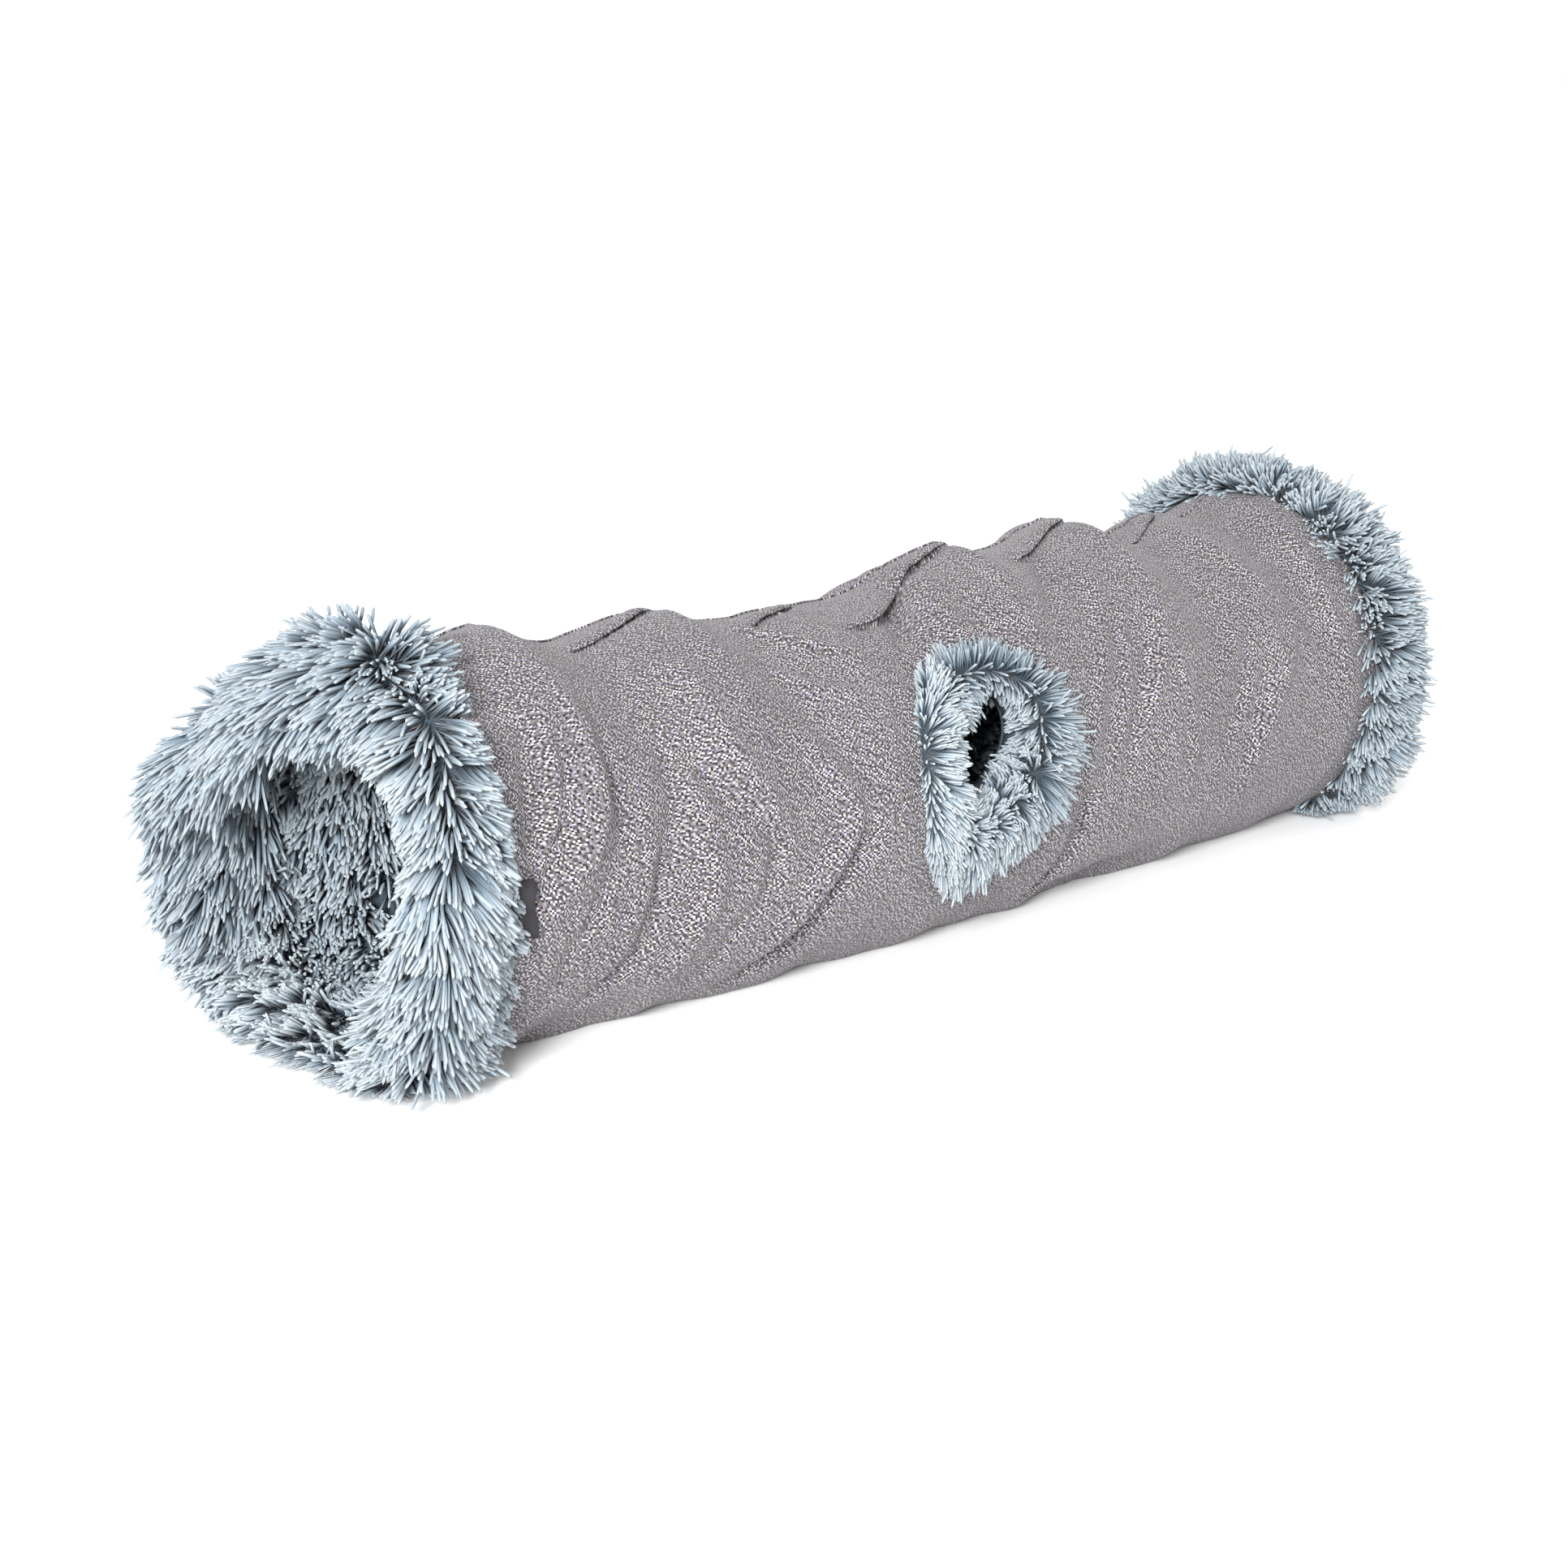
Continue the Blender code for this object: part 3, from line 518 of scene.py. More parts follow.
def loft(name, rings, material, us=None, vs=None):
    """Joins rings of points into one skin, closed round the rings and along them, facing out."""
    rings = np.asarray(rings, float)
    m, n = rings.shape[:2]
    i, j = np.meshgrid(np.arange(m), np.arange(n), indexing="ij")
    i_next, j_next = (i + 1) % m, (j + 1) % n
    quads = np.stack([i * n + j, i_next * n + j, i_next * n + j_next, i * n + j_next], -1)
    points = rings.reshape(-1, 3)
    a, b, c, d = (points[quads[..., k].ravel()] for k in range(4))
    volume = (np.cross(b - a, c - a) * a).sum() + (np.cross(c - a, d - a) * a).sum()
    corner_i = np.stack([i, i + 1, i + 1, i], -1)
    corner_j = np.stack([j, j, j + 1, j + 1], -1)
    if volume < 0:
        quads, corner_i, corner_j = quads[..., ::-1], corner_i[..., ::-1], corner_j[..., ::-1]
    piece = mesh_object(name, points, quads.reshape(-1, 4).tolist(), material)
    if us is not None:
        us = np.append(us, us[0])
        set_cloth_places(piece, np.stack([us[corner_i], np.asarray(vs)[corner_j]], -1))
    return piece


def set_attribute(piece, name, values):
    """A number or a vector at every vertex, in place of any older one of that name."""
    attributes = piece.data.attributes
    if name in attributes:
        attributes.remove(attributes[name])
    values = np.asarray(values, np.float32)
    if values.ndim == 1:
        attributes.new(name, "FLOAT", "POINT").data.foreach_set("value", values)
    else:
        attributes.new(name, "FLOAT_VECTOR", "POINT").data.foreach_set("vector", values.ravel())


# Geometry Nodes

def plain_mesh(piece):
    """The mesh that a piece's modifiers make of it."""
    bpy.context.view_layer.update()
    evaluated = piece.evaluated_get(bpy.context.evaluated_depsgraph_get())
    return bpy.data.meshes.new_from_object(evaluated)


def geometry_tree(name, **sizes):
    """A tree with inputs named by type. Returns it, what adds to it, its inputs and its output."""
    tree = bpy.data.node_groups.new(name, "GeometryNodeTree")
    tree.interface.new_socket("Geometry", in_out="OUTPUT", socket_type="NodeSocketGeometry")
    for kind, titles in {"Geometry": ["Geometry"], **sizes}.items():
        for title in titles:
            tree.interface.new_socket(title, in_out="INPUT", socket_type="NodeSocket" + kind)
    add = functools.partial(node, tree)
    return tree, add, add("NodeGroupInput").outputs, add("NodeGroupOutput")


def grown(name, base, tree, values):
    """What the tree makes on a base piece, as a plain mesh at the origin."""
    source = in_scene(name + "_source", base.data.copy())
    modifier = source.modifiers.new("grow", "NODES")
    modifier.node_group = tree
    titles = {item.name: item.identifier for item in tree.interface.items_tree
              if item.in_out == "INPUT"}
    for title, value in values.items():
        modifier[titles[title]] = value
    mesh = plain_mesh(source)
    mesh.name = name
    for spare in ("growth", "lay", "shag", "pale", "bend"):
        if spare in mesh.attributes:
            mesh.attributes.remove(mesh.attributes[spare])
    bpy.data.objects.remove(source)
    return in_scene(name, mesh)


PILE_SIZES = ("Spacing", "Length", "Radius", "Lean", "Lock size", "Lock spread", "Lock pull",
              "Droop", "Unruly")
# The least that a tuft's way points off its skin
LEAST_STANDING = 0.3


def pile_tree():
    """Plush pile: blunt tufts that stand on a skin, lean with its lay and gather in locks.

    The skin has four attributes. Its growth is the share of the tufts that stand there, its lay
    is the way that the pile is brushed, its shag is the tufts' length there as a share, and pale
    is how much lighter than usual they are.
    """
    tree, add, given, out = geometry_tree(
        "plush_pile", Float=PILE_SIZES, Int=("Segments", "Seed"), Material=("Material",))
    place = add("GeometryNodeInputPosition")
    lay, bend_there = (add(STORED, name, data_type="FLOAT_VECTOR") for name in ("lay", "bend"))
    growth, shag, pale, along = (add(STORED, name) for name in ("growth", "shag", "pale", "along"))

    # Where the tufts stand
    each_way = add(MATH, 1.4, given["Spacing"], operation="DIVIDE")
    scatter = add("GeometryNodeDistributePointsOnFaces", {
        "Mesh": given["Geometry"], "Distance Min": given["Spacing"],
        "Density Max": add(MATH, each_way, each_way, operation="MULTIPLY"),
        "Density Factor": growth, "Seed": given["Seed"]}, distribute_method="POISSON")
    outward = scatter.outputs["Normal"]

    # The lock that each tuft belongs to, and a way of its own for each lock
    lock_scale = add(MATH, 1.0, given["Lock size"], operation="DIVIDE")
    lock_place = add(VECTOR, place, {"Scale": lock_scale}, operation="SCALE")
    locks = add("ShaderNodeTexVoronoi", lock_place, {"Scale": 1.0}).outputs
    lock_middle = add(VECTOR, locks["Position"], {"Scale": given["Lock size"]}, operation="SCALE")
    to_lock = add(VECTOR, lock_middle, place, operation="SUBTRACT")
    lock_way = add(VECTOR, locks["Color"], (0.5, 0.5, 0.5), operation="SUBTRACT")
    lock_share = add(SEPARATE, locks["Color"]).outputs

    # Which way each tuft points. The lay keeps to the skin, and every tuft stands off it
    through = add(VECTOR, lay, outward, operation="PROJECT")
    lay = add(VECTOR, lay, through, operation="SUBTRACT")
    own = add(CHANCE, (-0.5, -0.5, -0.5), (0.5, 0.5, 0.5), {"Seed": given["Seed"]},
              data_type="FLOAT_VECTOR")
    way = add(VECTOR, lay, given["Lean"], outward, operation="MULTIPLY_ADD")
    way = add(VECTOR, lock_way, given["Lock spread"], way, operation="MULTIPLY_ADD")
    way = add(VECTOR, own, given["Unruly"], way, operation="MULTIPLY_ADD")
    standing = add(VECTOR, way, outward, operation="DOT_PRODUCT").outputs["Value"]
    lift = add(MATH, LEAST_STANDING, standing, operation="SUBTRACT")
    lift = add(MATH, lift, 0.0, operation="MAXIMUM")
    way = add(VECTOR, outward, lift, way, operation="MULTIPLY_ADD")

    # How long each tuft is: by the skin, by chance and by its lock
    length = add(MATH, given["Length"], shag, operation="MULTIPLY")
    length = add(MATH, length, add(CHANCE, {2: 0.72, 3: 1.1, "Seed": 3}), operation="MULTIPLY")
    by_lock = add(MATH, lock_share["X"], 0.3, 0.85, operation="MULTIPLY_ADD")
    length = add(MATH, length, by_lock, operation="MULTIPLY")

    # How far each tip bends: with the lay, towards the lock's middle, down, and a few astray
    rare = add(MATH, add(CHANCE, {2: 0.0, 3: 1.0, "Seed": 9}), 14.0, operation="POWER")
    astray = add(MATH, rare, 1.2, 0.2, operation="MULTIPLY_ADD")
    bend = add(VECTOR, lay, {"Scale": 0.35}, operation="SCALE")
    bend = add(VECTOR, own, astray, bend, operation="MULTIPLY_ADD")
    down = add(COMBINE, {"Z": add(MATH, given["Droop"], -1.0, operation="MULTIPLY")})
    bend = add(VECTOR, bend, down, operation="ADD")
    bend = add(VECTOR, bend, {"Scale": length}, operation="SCALE")
    bend = add(VECTOR, to_lock, given["Lock pull"], bend, operation="MULTIPLY_ADD")
    # No tuft bends back through the skin
    sunk = add(VECTOR, bend, outward, operation="DOT_PRODUCT").outputs["Value"]
    sunk = add(MATH, sunk, 0.0, operation="MINIMUM")
    sunk = add(VECTOR, outward, {"Scale": sunk}, operation="SCALE")
    bend = add(VECTOR, bend, sunk, operation="SUBTRACT")

    # How pale each tuft is: by the skin, by chance and by its lock
    tint = add(MATH, add(CHANCE, {2: 0.0, 3: 0.55, "Seed": 7}), pale, operation="ADD")
    tint = add(MATH, lock_share["Y"], 0.45, tint, operation="MULTIPLY_ADD")
    rooted = add(STORE, scatter, {"Name": "bend", "Value": bend}, data_type="FLOAT_VECTOR")
    rooted = add(STORE, rooted, {"Name": "tint", "Value": tint})

    # One tuft: three sides, widest past its middle, with a blunt tip
    cone = add("GeometryNodeMeshCone", {
        "Vertices": 3, "Side Segments": given["Segments"], "Radius Top": 0.0,
        "Radius Bottom": 1.0, "Depth": 1.0})
    height = add(SEPARATE, place).outputs["Z"]
    left = add(MATH, 1.0, height, operation="SUBTRACT")
    left = add(MATH, left, 2.5, operation="POWER")
    higher = add(COMBINE, {"Z": add(MATH, 1.0, left, operation="SUBTRACT")})
    fuller = add(MATH, height, 4.6, 0.4, operation="MULTIPLY_ADD")
    shaped = add(VECTOR, place, add(COMBINE, fuller, fuller), operation="MULTIPLY")
    shaped = add(VECTOR, shaped, higher, operation="ADD")
    tuft = add(SET_POSITION, cone, {"Position": shaped})
    tuft = add(STORE, tuft, {"Name": "along", "Value": height})

    spin = add(COMBINE, {"Z": add(CHANCE, {2: 0.0, 3: 2 * math.pi, "Seed": 5})})
    turned = add("FunctionNodeAlignRotationToVector", add("FunctionNodeEulerToRotation", spin),
                 {"Vector": way}, axis="Z")
    placed = add("GeometryNodeInstanceOnPoints", rooted, {
        "Instance": tuft, "Rotation": turned,
        "Scale": add(COMBINE, given["Radius"], given["Radius"], length)})
    real = add("GeometryNodeRealizeInstances", placed)
    reach = add(MATH, along, 1.8, operation="POWER")
    reach = add(VECTOR, bend_there, {"Scale": reach}, operation="SCALE")
    bent = add(SET_POSITION, real, {"Offset": reach})
    # What would go through the floor lies on it, pressed to a fifth of its height
    now = add(SEPARATE, place).outputs
    pressed = add(MATH, now["Z"], 0.19, 0.0075, operation="MULTIPLY_ADD")
    lifted = add(MATH, now["Z"], pressed, operation="MAXIMUM")
    laid = add(SET_POSITION, bent, {"Position": add(COMBINE, now["X"], now["Y"], lifted)})
    smooth = add("GeometryNodeSetShadeSmooth", laid)
    fill(out, {0: add("GeometryNodeSetMaterial", smooth, {"Material": given["Material"]})})
    return tree


def pile(name, skin, seed, sizes):
    """Pile on a skin, with three segments to a tuft and little droop unless its sizes differ."""
    return grown(name, skin, PILE_TREE, {
        "Segments": 3, "Droop": 0.1, "Seed": seed, "Material": PILE, **sizes})


def coil_tree():
    """The coil's wire: a round tube along a helix, whose pitch and reach the base line holds."""
    tree, add, given, out = geometry_tree(
        "wound_wire", Float=("Wire radius",), Int=("Sides",), Material=("Material",))
    line = add("GeometryNodeMeshToCurve", given["Geometry"])
    ring = add("GeometryNodeCurvePrimitiveCircle", {
        "Resolution": given["Sides"], "Radius": given["Wire radius"]})
    tube = add("GeometryNodeCurveToMesh", line, ring, {"Fill Caps": True})
    smooth = add("GeometryNodeSetShadeSmooth", tube)
    real = add("GeometryNodeRealizeInstances", smooth)
    fill(out, {0: add("GeometryNodeSetMaterial", real, {"Material": given["Material"]})})
    return tree


def line_object(name, points):
    """A bare line of edges, which a tree reads as a path."""
    points = np.asarray(points)
    mesh = bpy.data.meshes.new(name)
    mesh.from_pydata(points.tolist(), [(k, k + 1) for k in range(len(points) - 1)], [])
    return bpy.data.objects.new(name, mesh)


# Attaching to the frame

def attach(piece, body, slot, *nodes):
    """Puts a piece on a body, with the CAD's nodes that it stands for. Its material's slot is not
    used.
    """
    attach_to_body(piece, body)
    if nodes:
        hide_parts(*nodes)


def along_tunnel(piece, slot, *nodes):
    """A soft piece that rides on the near end's body, with a mesh of its own."""
    attach(piece, "near_end", slot, *nodes)
    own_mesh(piece)


def bays(stem):
    return [f"{stem}_{k}" for k in range(1, TURNS + 1)]


# Opening of the peephole

# It leans like the one in the photograph: its long axis points up and to the far end
HOLE_LEAN = math.radians(52.0)
HOLE_HALF_LONG = 0.051
HOLE_HALF_SHORT = 0.034
# Its middle lies this far above the patch's
HOLE_ACROSS = 0.009


def hole_outline(turn, grow=0.0):
    """Points (along, across) on the opening's edge, for directions from its long axis."""
    u = (HOLE_HALF_LONG + grow) * np.cos(turn)
    v = (HOLE_HALF_SHORT + grow) * np.sin(turn)
    return (u * math.cos(HOLE_LEAN) - v * math.sin(HOLE_LEAN),
            HOLE_ACROSS + u * math.sin(HOLE_LEAN) + v * math.cos(HOLE_LEAN))


def near_hole(along, across, depth):
    """Points off the peephole's middle, in metres on the cover, at a depth below its face."""
    station = PEEPHOLE_STATION + along
    angle = PEEPHOLE_ANGLE + np.degrees(across / HOOP_RADIUS)
    return tube_points(station, angle, cover_radius(station, angle) - depth, 0.0)


# From well outside the cover to well inside the lining
CUTTER_LIFTS = (0.05, -0.07)


def hole_cutter():
    """A bar with the opening's outline, square to the cover, through all its layers."""
    turn = math.radians(PEEPHOLE_ANGLE)
    axes = Matrix((
        (1.0, 0.0, 0.0),
        (0.0, math.sin(turn), math.cos(turn)),
        (0.0, -math.cos(turn), math.sin(turn)),
    )).transposed().to_4x4()
    axes.translation = layer(PEEPHOLE_STATION, PEEPHOLE_ANGLE, 0.0).tolist()
    turns = np.linspace(0, 2 * math.pi, 48, endpoint=False)
    along, across = hole_outline(turns)
    n = len(turns)
    vertices = [tuple(axes @ Vector((a, b, lift)))
                for lift in CUTTER_LIFTS for a, b in zip(along, across)]
    faces = [[k, n + k, n + (k + 1) % n, (k + 1) % n] for k in range(n)]
    faces += [list(range(n)), list(range(2 * n - 1, n - 1, -1))]
    return mesh_object("opening_cutter", vertices, faces)


def cut(piece, cutter):
    """Cuts the opening and keeps the result as the piece's own mesh."""
    modifier = piece.modifiers.new("opening", "BOOLEAN")
    modifier.operation = "DIFFERENCE"
    modifier.solver = "EXACT"
    modifier.object = cutter
    mesh = plain_mesh(piece)
    piece.modifiers.clear()
    piece.data = mesh


# Cover

INNER_ROWS = 60


def make_cover(material, cutter):
    inner_rows = np.linspace(ROWS, 0, INNER_ROWS).round().astype(int)
    outer = [layer(s, GRID_ANGLES, 0.0) for s in GRID_STATIONS]
    inner = [layer(s, GRID_ANGLES, COVER_THICKNESS) for s in GRID_STATIONS[inner_rows]]
    arcs = np.radians(np.append(GRID_ANGLES, 450.0)) * HOOP_RADIUS
    cover = loft("cover", outer + inner, material,
                 us=np.concatenate([GRID_STATIONS, GRID_STATIONS[inner_rows]]), vs=arcs)
    set_attribute(cover, "wire_distance", np.concatenate(
        [BESIDE_WIRE.ravel(), BESIDE_WIRE[inner_rows].ravel()]))
    cut(cover, cutter)
    along_tunnel(cover, "woven_cover", *bays("cover_bay"))


def ribbon(name, rings, uvs, material):
    """A closed strip of cloth through rings of points, whose weave goes on from the cover's."""
    m, n = np.asarray(rings).shape[:2]
    strip = mesh_object(name, rings, strip_faces(m, n), material)
    corner = np.zeros(len(strip.data.loops), int)
    strip.data.loops.foreach_get("vertex_index", corner)
    set_cloth_places(strip, np.reshape(uvs, (-1, 2))[corner])
    # No row of the wire's stitches runs along it
    set_attribute(strip, "wire_distance", np.full(m * n, 0.02))
    along_tunnel(strip, "woven_cover")


seam_section = ((0.0034, -0.0008), (0.0020, 0.0010), (-0.0002, 0.0018), (-0.0018, 0.0016),
                (-0.0020, 0.0006), (-0.0014, -0.0008))


def make_closing_seam(material):
    """The closing seam: its allowance lies as a low ridge just behind the top of the tunnel."""
    stations = np.linspace(0.002, FABRIC_LENGTH - 0.002, 320)
    angles = 106.0 + 3.0 * np.sin(stations * 31.0) + 2.0 * np.sin(stations * 74.0)
    rings, uvs = [], []
    for offset, lift in seam_section:
        beside = angles + np.degrees(offset / HOOP_RADIUS)
        rings.append(tube_points(stations, beside, cover_radius(stations, beside) + lift, 0.0))
        uvs.append(np.stack([stations, np.full_like(stations, offset)], -1))
    ribbon("closing_seam", np.stack(rings, axis=1), np.stack(uvs, axis=1), material)


# Each point: metres across the lap's line towards the lower layer, lift off the cloth, and how far
# across the line the cloth is that it is measured from
lap_section = ((-0.0160, -0.0004, -0.0160), (-0.0100, 0.0006, -0.0100), (-0.0050, 0.0012, -0.0050),
               (0.0005, 0.0014, -0.0040), (0.0042, 0.0008, -0.0040), (0.0054, -0.0004, -0.0040),
               (0.0052, -0.0014, -0.0040), (0.0040, -0.0018, -0.0040), (-0.0030, -0.0014, -0.0050),
               (-0.0100, -0.0012, -0.0100))


def make_laps(material):
    """The folded edge of each lap, which overhangs the lower layer and shades it."""
    for number, (*_, line) in enumerate(laps, 1):
        path = np.array(line, float) * LINE_UNITS
        run = np.concatenate([[0.0], np.cumsum(np.linalg.norm(np.diff(path, axis=0), axis=1))])
        at = np.linspace(0.0, run[-1], 48)
        fine = np.stack([np.interp(at, run, path[:, k]) for k in (0, 1)], axis=1)
        for _ in range(12):
            fine[1:-1] = (fine[:-2] + 2 * fine[1:-1] + fine[2:]) / 4
        way = np.gradient(fine, axis=0)
        way /= np.linalg.norm(way, axis=1)[:, None]
        fade = np.clip(np.sin(math.pi * at / run[-1]) * 2.0, 0.05, 1.0)
        square = np.stack([way[:, 1], -way[:, 0]], -1)
        rings, uvs = [], []
        for offset, lift, source in lap_section:
            place = fine + square * (offset * fade)[:, None]
            under = fine + square * (source * fade)[:, None]
            radius = cover_radius(under[:, 0], np.degrees(under[:, 1] / HOOP_RADIUS))
            rings.append(tube_points(place[:, 0], np.degrees(place[:, 1] / HOOP_RADIUS),
                                     radius + lift * fade - 0.0006 * (1 - fade), 0.0))
            uvs.append(place)
        ribbon(f"cover_lap_{number}", np.stack(rings, axis=1), np.stack(uvs, axis=1), material)


# Lining

LINING_COLUMNS = 96
LINING_ROWS = 150
LINING_BULGE = 0.018
LINING_ANGLES = 90.0 + 360.0 * np.arange(LINING_COLUMNS) / LINING_COLUMNS


def lining_face(stations, depth):
    """The lining's rows at a depth below its outer face. It bellies in between the turns."""
    bulge = np.stack([between_wires(stations, a)[0] for a in LINING_ANGLES], axis=1) * LINING_BULGE
    return [layer(s, LINING_ANGLES, LINING_DEPTH + depth + row) for s, row in zip(stations, bulge)]


def make_lining(material, cutter):
    stations = np.linspace(0.0, FABRIC_LENGTH, LINING_ROWS)
    rings = lining_face(stations, 0.0) + lining_face(stations[::-1], LINING_BACKING)
    lining = loft("lining", rings, material)
    cut(lining, cutter)
    along_tunnel(lining, "plush_lining", *bays("lining_bay"))


# Its pile is brushed towards the near end and down, and keeps clear of the opening
LINING_LAY = (-0.6, 0.0, -0.7)
HOLE_MARGIN = 0.010
DEEPEST_DENT = 0.007


def lining_skin(start, end, rows):
    """The inward face of the lining alone, for its pile to stand on."""
    stations = np.linspace(start, end, rows)
    grid = np.array(lining_face(stations, LINING_BACKING - 0.0005))
    m, n = grid.shape[:2]
    skin = mesh_object("lining_skin", grid, strip_faces(m, n, capped=False))
    station, angle = np.meshgrid(stations, LINING_ANGLES, indexing="ij")
    round_way = (np.radians(angle - PEEPHOLE_ANGLE) + math.pi) % (2 * math.pi) - math.pi
    off = np.hypot(station - PEEPHOLE_STATION, round_way * HOOP_RADIUS)
    # The tips would come out through the cover where the cloth ahead of them turns inward, away
    # from its slope at their roots
    downhill = -LINING_LAY[2] * np.cos(np.radians(angle)) / HOOP_RADIUS
    here, close, *ahead = (
        cover_radius(station + LINING_LAY[0] * reach, angle - np.degrees(downhill * reach))
        for reach in (0.0, 0.004, 0.012, 0.018, 0.024))
    dented = np.max([here + (close - here) * steps - far
                     for steps, far in zip((3.0, 4.5, 6.0), ahead)], axis=0)
    grows = (off > HOLE_HALF_LONG + HOLE_MARGIN) & (dented < DEEPEST_DENT)
    set_attribute(skin, "growth", grows.ravel())
    set_attribute(skin, "lay", np.tile(LINING_LAY, (m * n, 1)))
    hang = np.stack([between_wires(stations, a)[0] for a in LINING_ANGLES], axis=1)
    set_attribute(skin, "shag", (0.75 + 0.4 * hang).ravel())
    # Painted shade: the lining's pile is darker all through, for the shade inside the tunnel, and
    # darker still towards the wires, for the shade in the valleys there
    set_attribute(skin, "pale", (0.3 * hang - 0.25).ravel())
    return skin


def grow_lining():
    """The lining's pile, finer where it shows through the two mouths."""
    for title, start, end, rows, spacing, radius, segments, seed in (
        ("lining_pile_near", 0.0, 0.13, 40, 0.0024, 0.0013, 3, 21),
        ("lining_pile_middle", 0.13, 0.30, 50, 0.0034, 0.0017, 3, 23),
        ("lining_pile_far", 0.30, 0.84, 90, 0.0062, 0.0024, 2, 22),
        ("lining_pile_end", 0.84, 0.96, 40, 0.0034, 0.0017, 3, 24),
    ):
        skin = lining_skin(start, end, rows)
        tufts = pile(title, skin, seed, {
            "Spacing": spacing, "Length": 0.020, "Radius": radius, "Lean": 0.7, "Lock size": 0.018,
            "Lock spread": 1.1, "Lock pull": 0.2, "Unruly": 0.4, "Segments": segments})
        bpy.data.objects.remove(skin)
        along_tunnel(tufts, "plush_lining")


# Cuffs

def smooth_section(points, count):
    """Evenly spaced points on a smooth closed curve through a section's own points."""
    points = np.asarray(points, float)
    n = len(points)
    fine = []
    for k in range(n):
        p0, p1, p2, p3 = (points[(k + d) % n] for d in (-1, 0, 1, 2))
        for t in np.linspace(0, 1, 24, endpoint=False):
            fine.append(0.5 * (2 * p1 + (p2 - p0) * t + (2 * p0 - 5 * p1 + 4 * p2 - p3) * t ** 2
                               + (3 * p1 - p0 - 3 * p2 + p3) * t ** 3))
    fine = np.array(fine + [fine[0]])
    run = np.concatenate([[0], np.cumsum(np.linalg.norm(np.diff(fine, axis=0), axis=1))])
    at = np.linspace(0, run[-1], count, endpoint=False)
    return np.stack([np.interp(at, run, fine[:, k]) for k in range(2)], axis=1)


CORD_ANGLES = (75.0, 195.0, 315.0)
CUFF_COLUMNS = 120
CUFF_ANGLES = 90.0 + 360.0 * np.arange(CUFF_COLUMNS) / CUFF_COLUMNS
near_section = ((0.000, -0.003), (0.010, 0.002), (0.030, 0.004), (0.052, 0.003), (0.068, -0.001),
                (0.075, -0.008), (0.069, -0.015), (0.048, -0.018), (0.024, -0.017), (0.003, -0.012))
far_section = ((0.000, -0.004), (0.006, 0.007), (0.018, 0.013), (0.029, 0.008), (0.033, -0.004),
               (0.027, -0.016), (0.014, -0.020), (0.002, -0.015))


# The cuffs swell unevenly, from nothing at the seam to the full height after some length
CUFF_SWELL = 0.0018
CUFF_SWELL_LENGTH = 0.03
CUFF_FLOOR = 0.004
# No pile grows this many degrees to each side of a cord
CORD_GAP = 1.6


def round_cuff(*places):
    """A value for each column of a cuff, through the (angle, value) places."""
    angles, values = zip(*places)
    return np.interp(CUFF_ANGLES % 360, angles, values)


def degrees_off(angle):
    """How far each column of a cuff is from an angle."""
    return np.abs((CUFF_ANGLES - angle + 180) % 360 - 180)


def cuff_skin(name, section, material, seam_station, direction, droop, reach, sag):
    """A roll of plush on an end hoop, which sinks at the top and swells unevenly.

    Its reach from the hoop, as a share at each angle, is less where the plush is drawn back, and
    its front edge sags by some metres more where the plush hangs over the mouth.
    """
    section = smooth_section(section, 44)
    random = np.random.default_rng(3 if direction < 0 else 4)
    waves = [(k, random.uniform(0, 2 * math.pi), random.uniform(0.4, 1.0))
             for k in (2, 3, 5, 7, 11)]
    swell = sum(size * np.sin(k * np.radians(CUFF_ANGLES) + phase) for k, phase, size in waves)
    top = np.maximum(np.sin(np.radians(CUFF_ANGLES)), 0.0) ** 0.7
    rings = []
    for along, across in section:
        radius = cover_radius(seam_station, CUFF_ANGLES) + across
        radius = radius + CUFF_SWELL * swell * min(along / CUFF_SWELL_LENGTH, 1.0)
        station = seam_station + direction * along * reach
        ring = tube_points(station, CUFF_ANGLES, radius, CUFF_FLOOR)
        share = along / section[:, 0].max()
        ring[:, 2] -= droop * share * top + sag * share ** 2
        rings.append(ring)
    return loft(name, rings, material), section


def brush(skin, section, direction, parting, back, gravity):
    """The pile's lay: back to the seam up to the parting, and forward past it.

    The parting is a share of the outer face at each angle. Gravity pulls the pile down.
    """
    front = section[:, 0].argmax()
    step = np.arange(len(section))[:, None]
    forward = np.clip((step - front * parting) / 2.0, -back, 1.0)
    lay = np.zeros((len(section), CUFF_COLUMNS, 3))
    lay[..., 0] = direction * np.where(step <= front, forward, 0.9)
    lay[..., 2] = -gravity
    set_attribute(skin, "lay", lay.reshape(-1, 3))


def grow_cuff(skin, section, bands, body, sizes, shag, pale, bare_angles=()):
    """Grows the pile of a cuff in bands of its section, each a piece."""
    step = np.arange(len(section))
    # No pile grows on the edge that is sewn in at the seam
    sewn = (section[:, 0] < 0.003) & (section[:, 1] < -0.002)
    set_attribute(skin, "shag", shag.ravel())
    set_attribute(skin, "pale", np.broadcast_to(pale, shag.shape).ravel())
    for title, low, high, seed in bands:
        chosen = (step >= low) & (step < high) & ~sewn
        growth = np.repeat(chosen, CUFF_COLUMNS).reshape(len(section), CUFF_COLUMNS) * 1.0
        # Nor does it grow where the cords leave the seam
        for cord in bare_angles:
            by_foot = (section[:, 0] < 0.010) & (step < 12)
            growth[np.ix_(by_foot, degrees_off(cord) < CORD_GAP)] = 0.0
        set_attribute(skin, "growth", growth.ravel())
        attach(pile(title, skin, seed, sizes), body, "plush_pile")


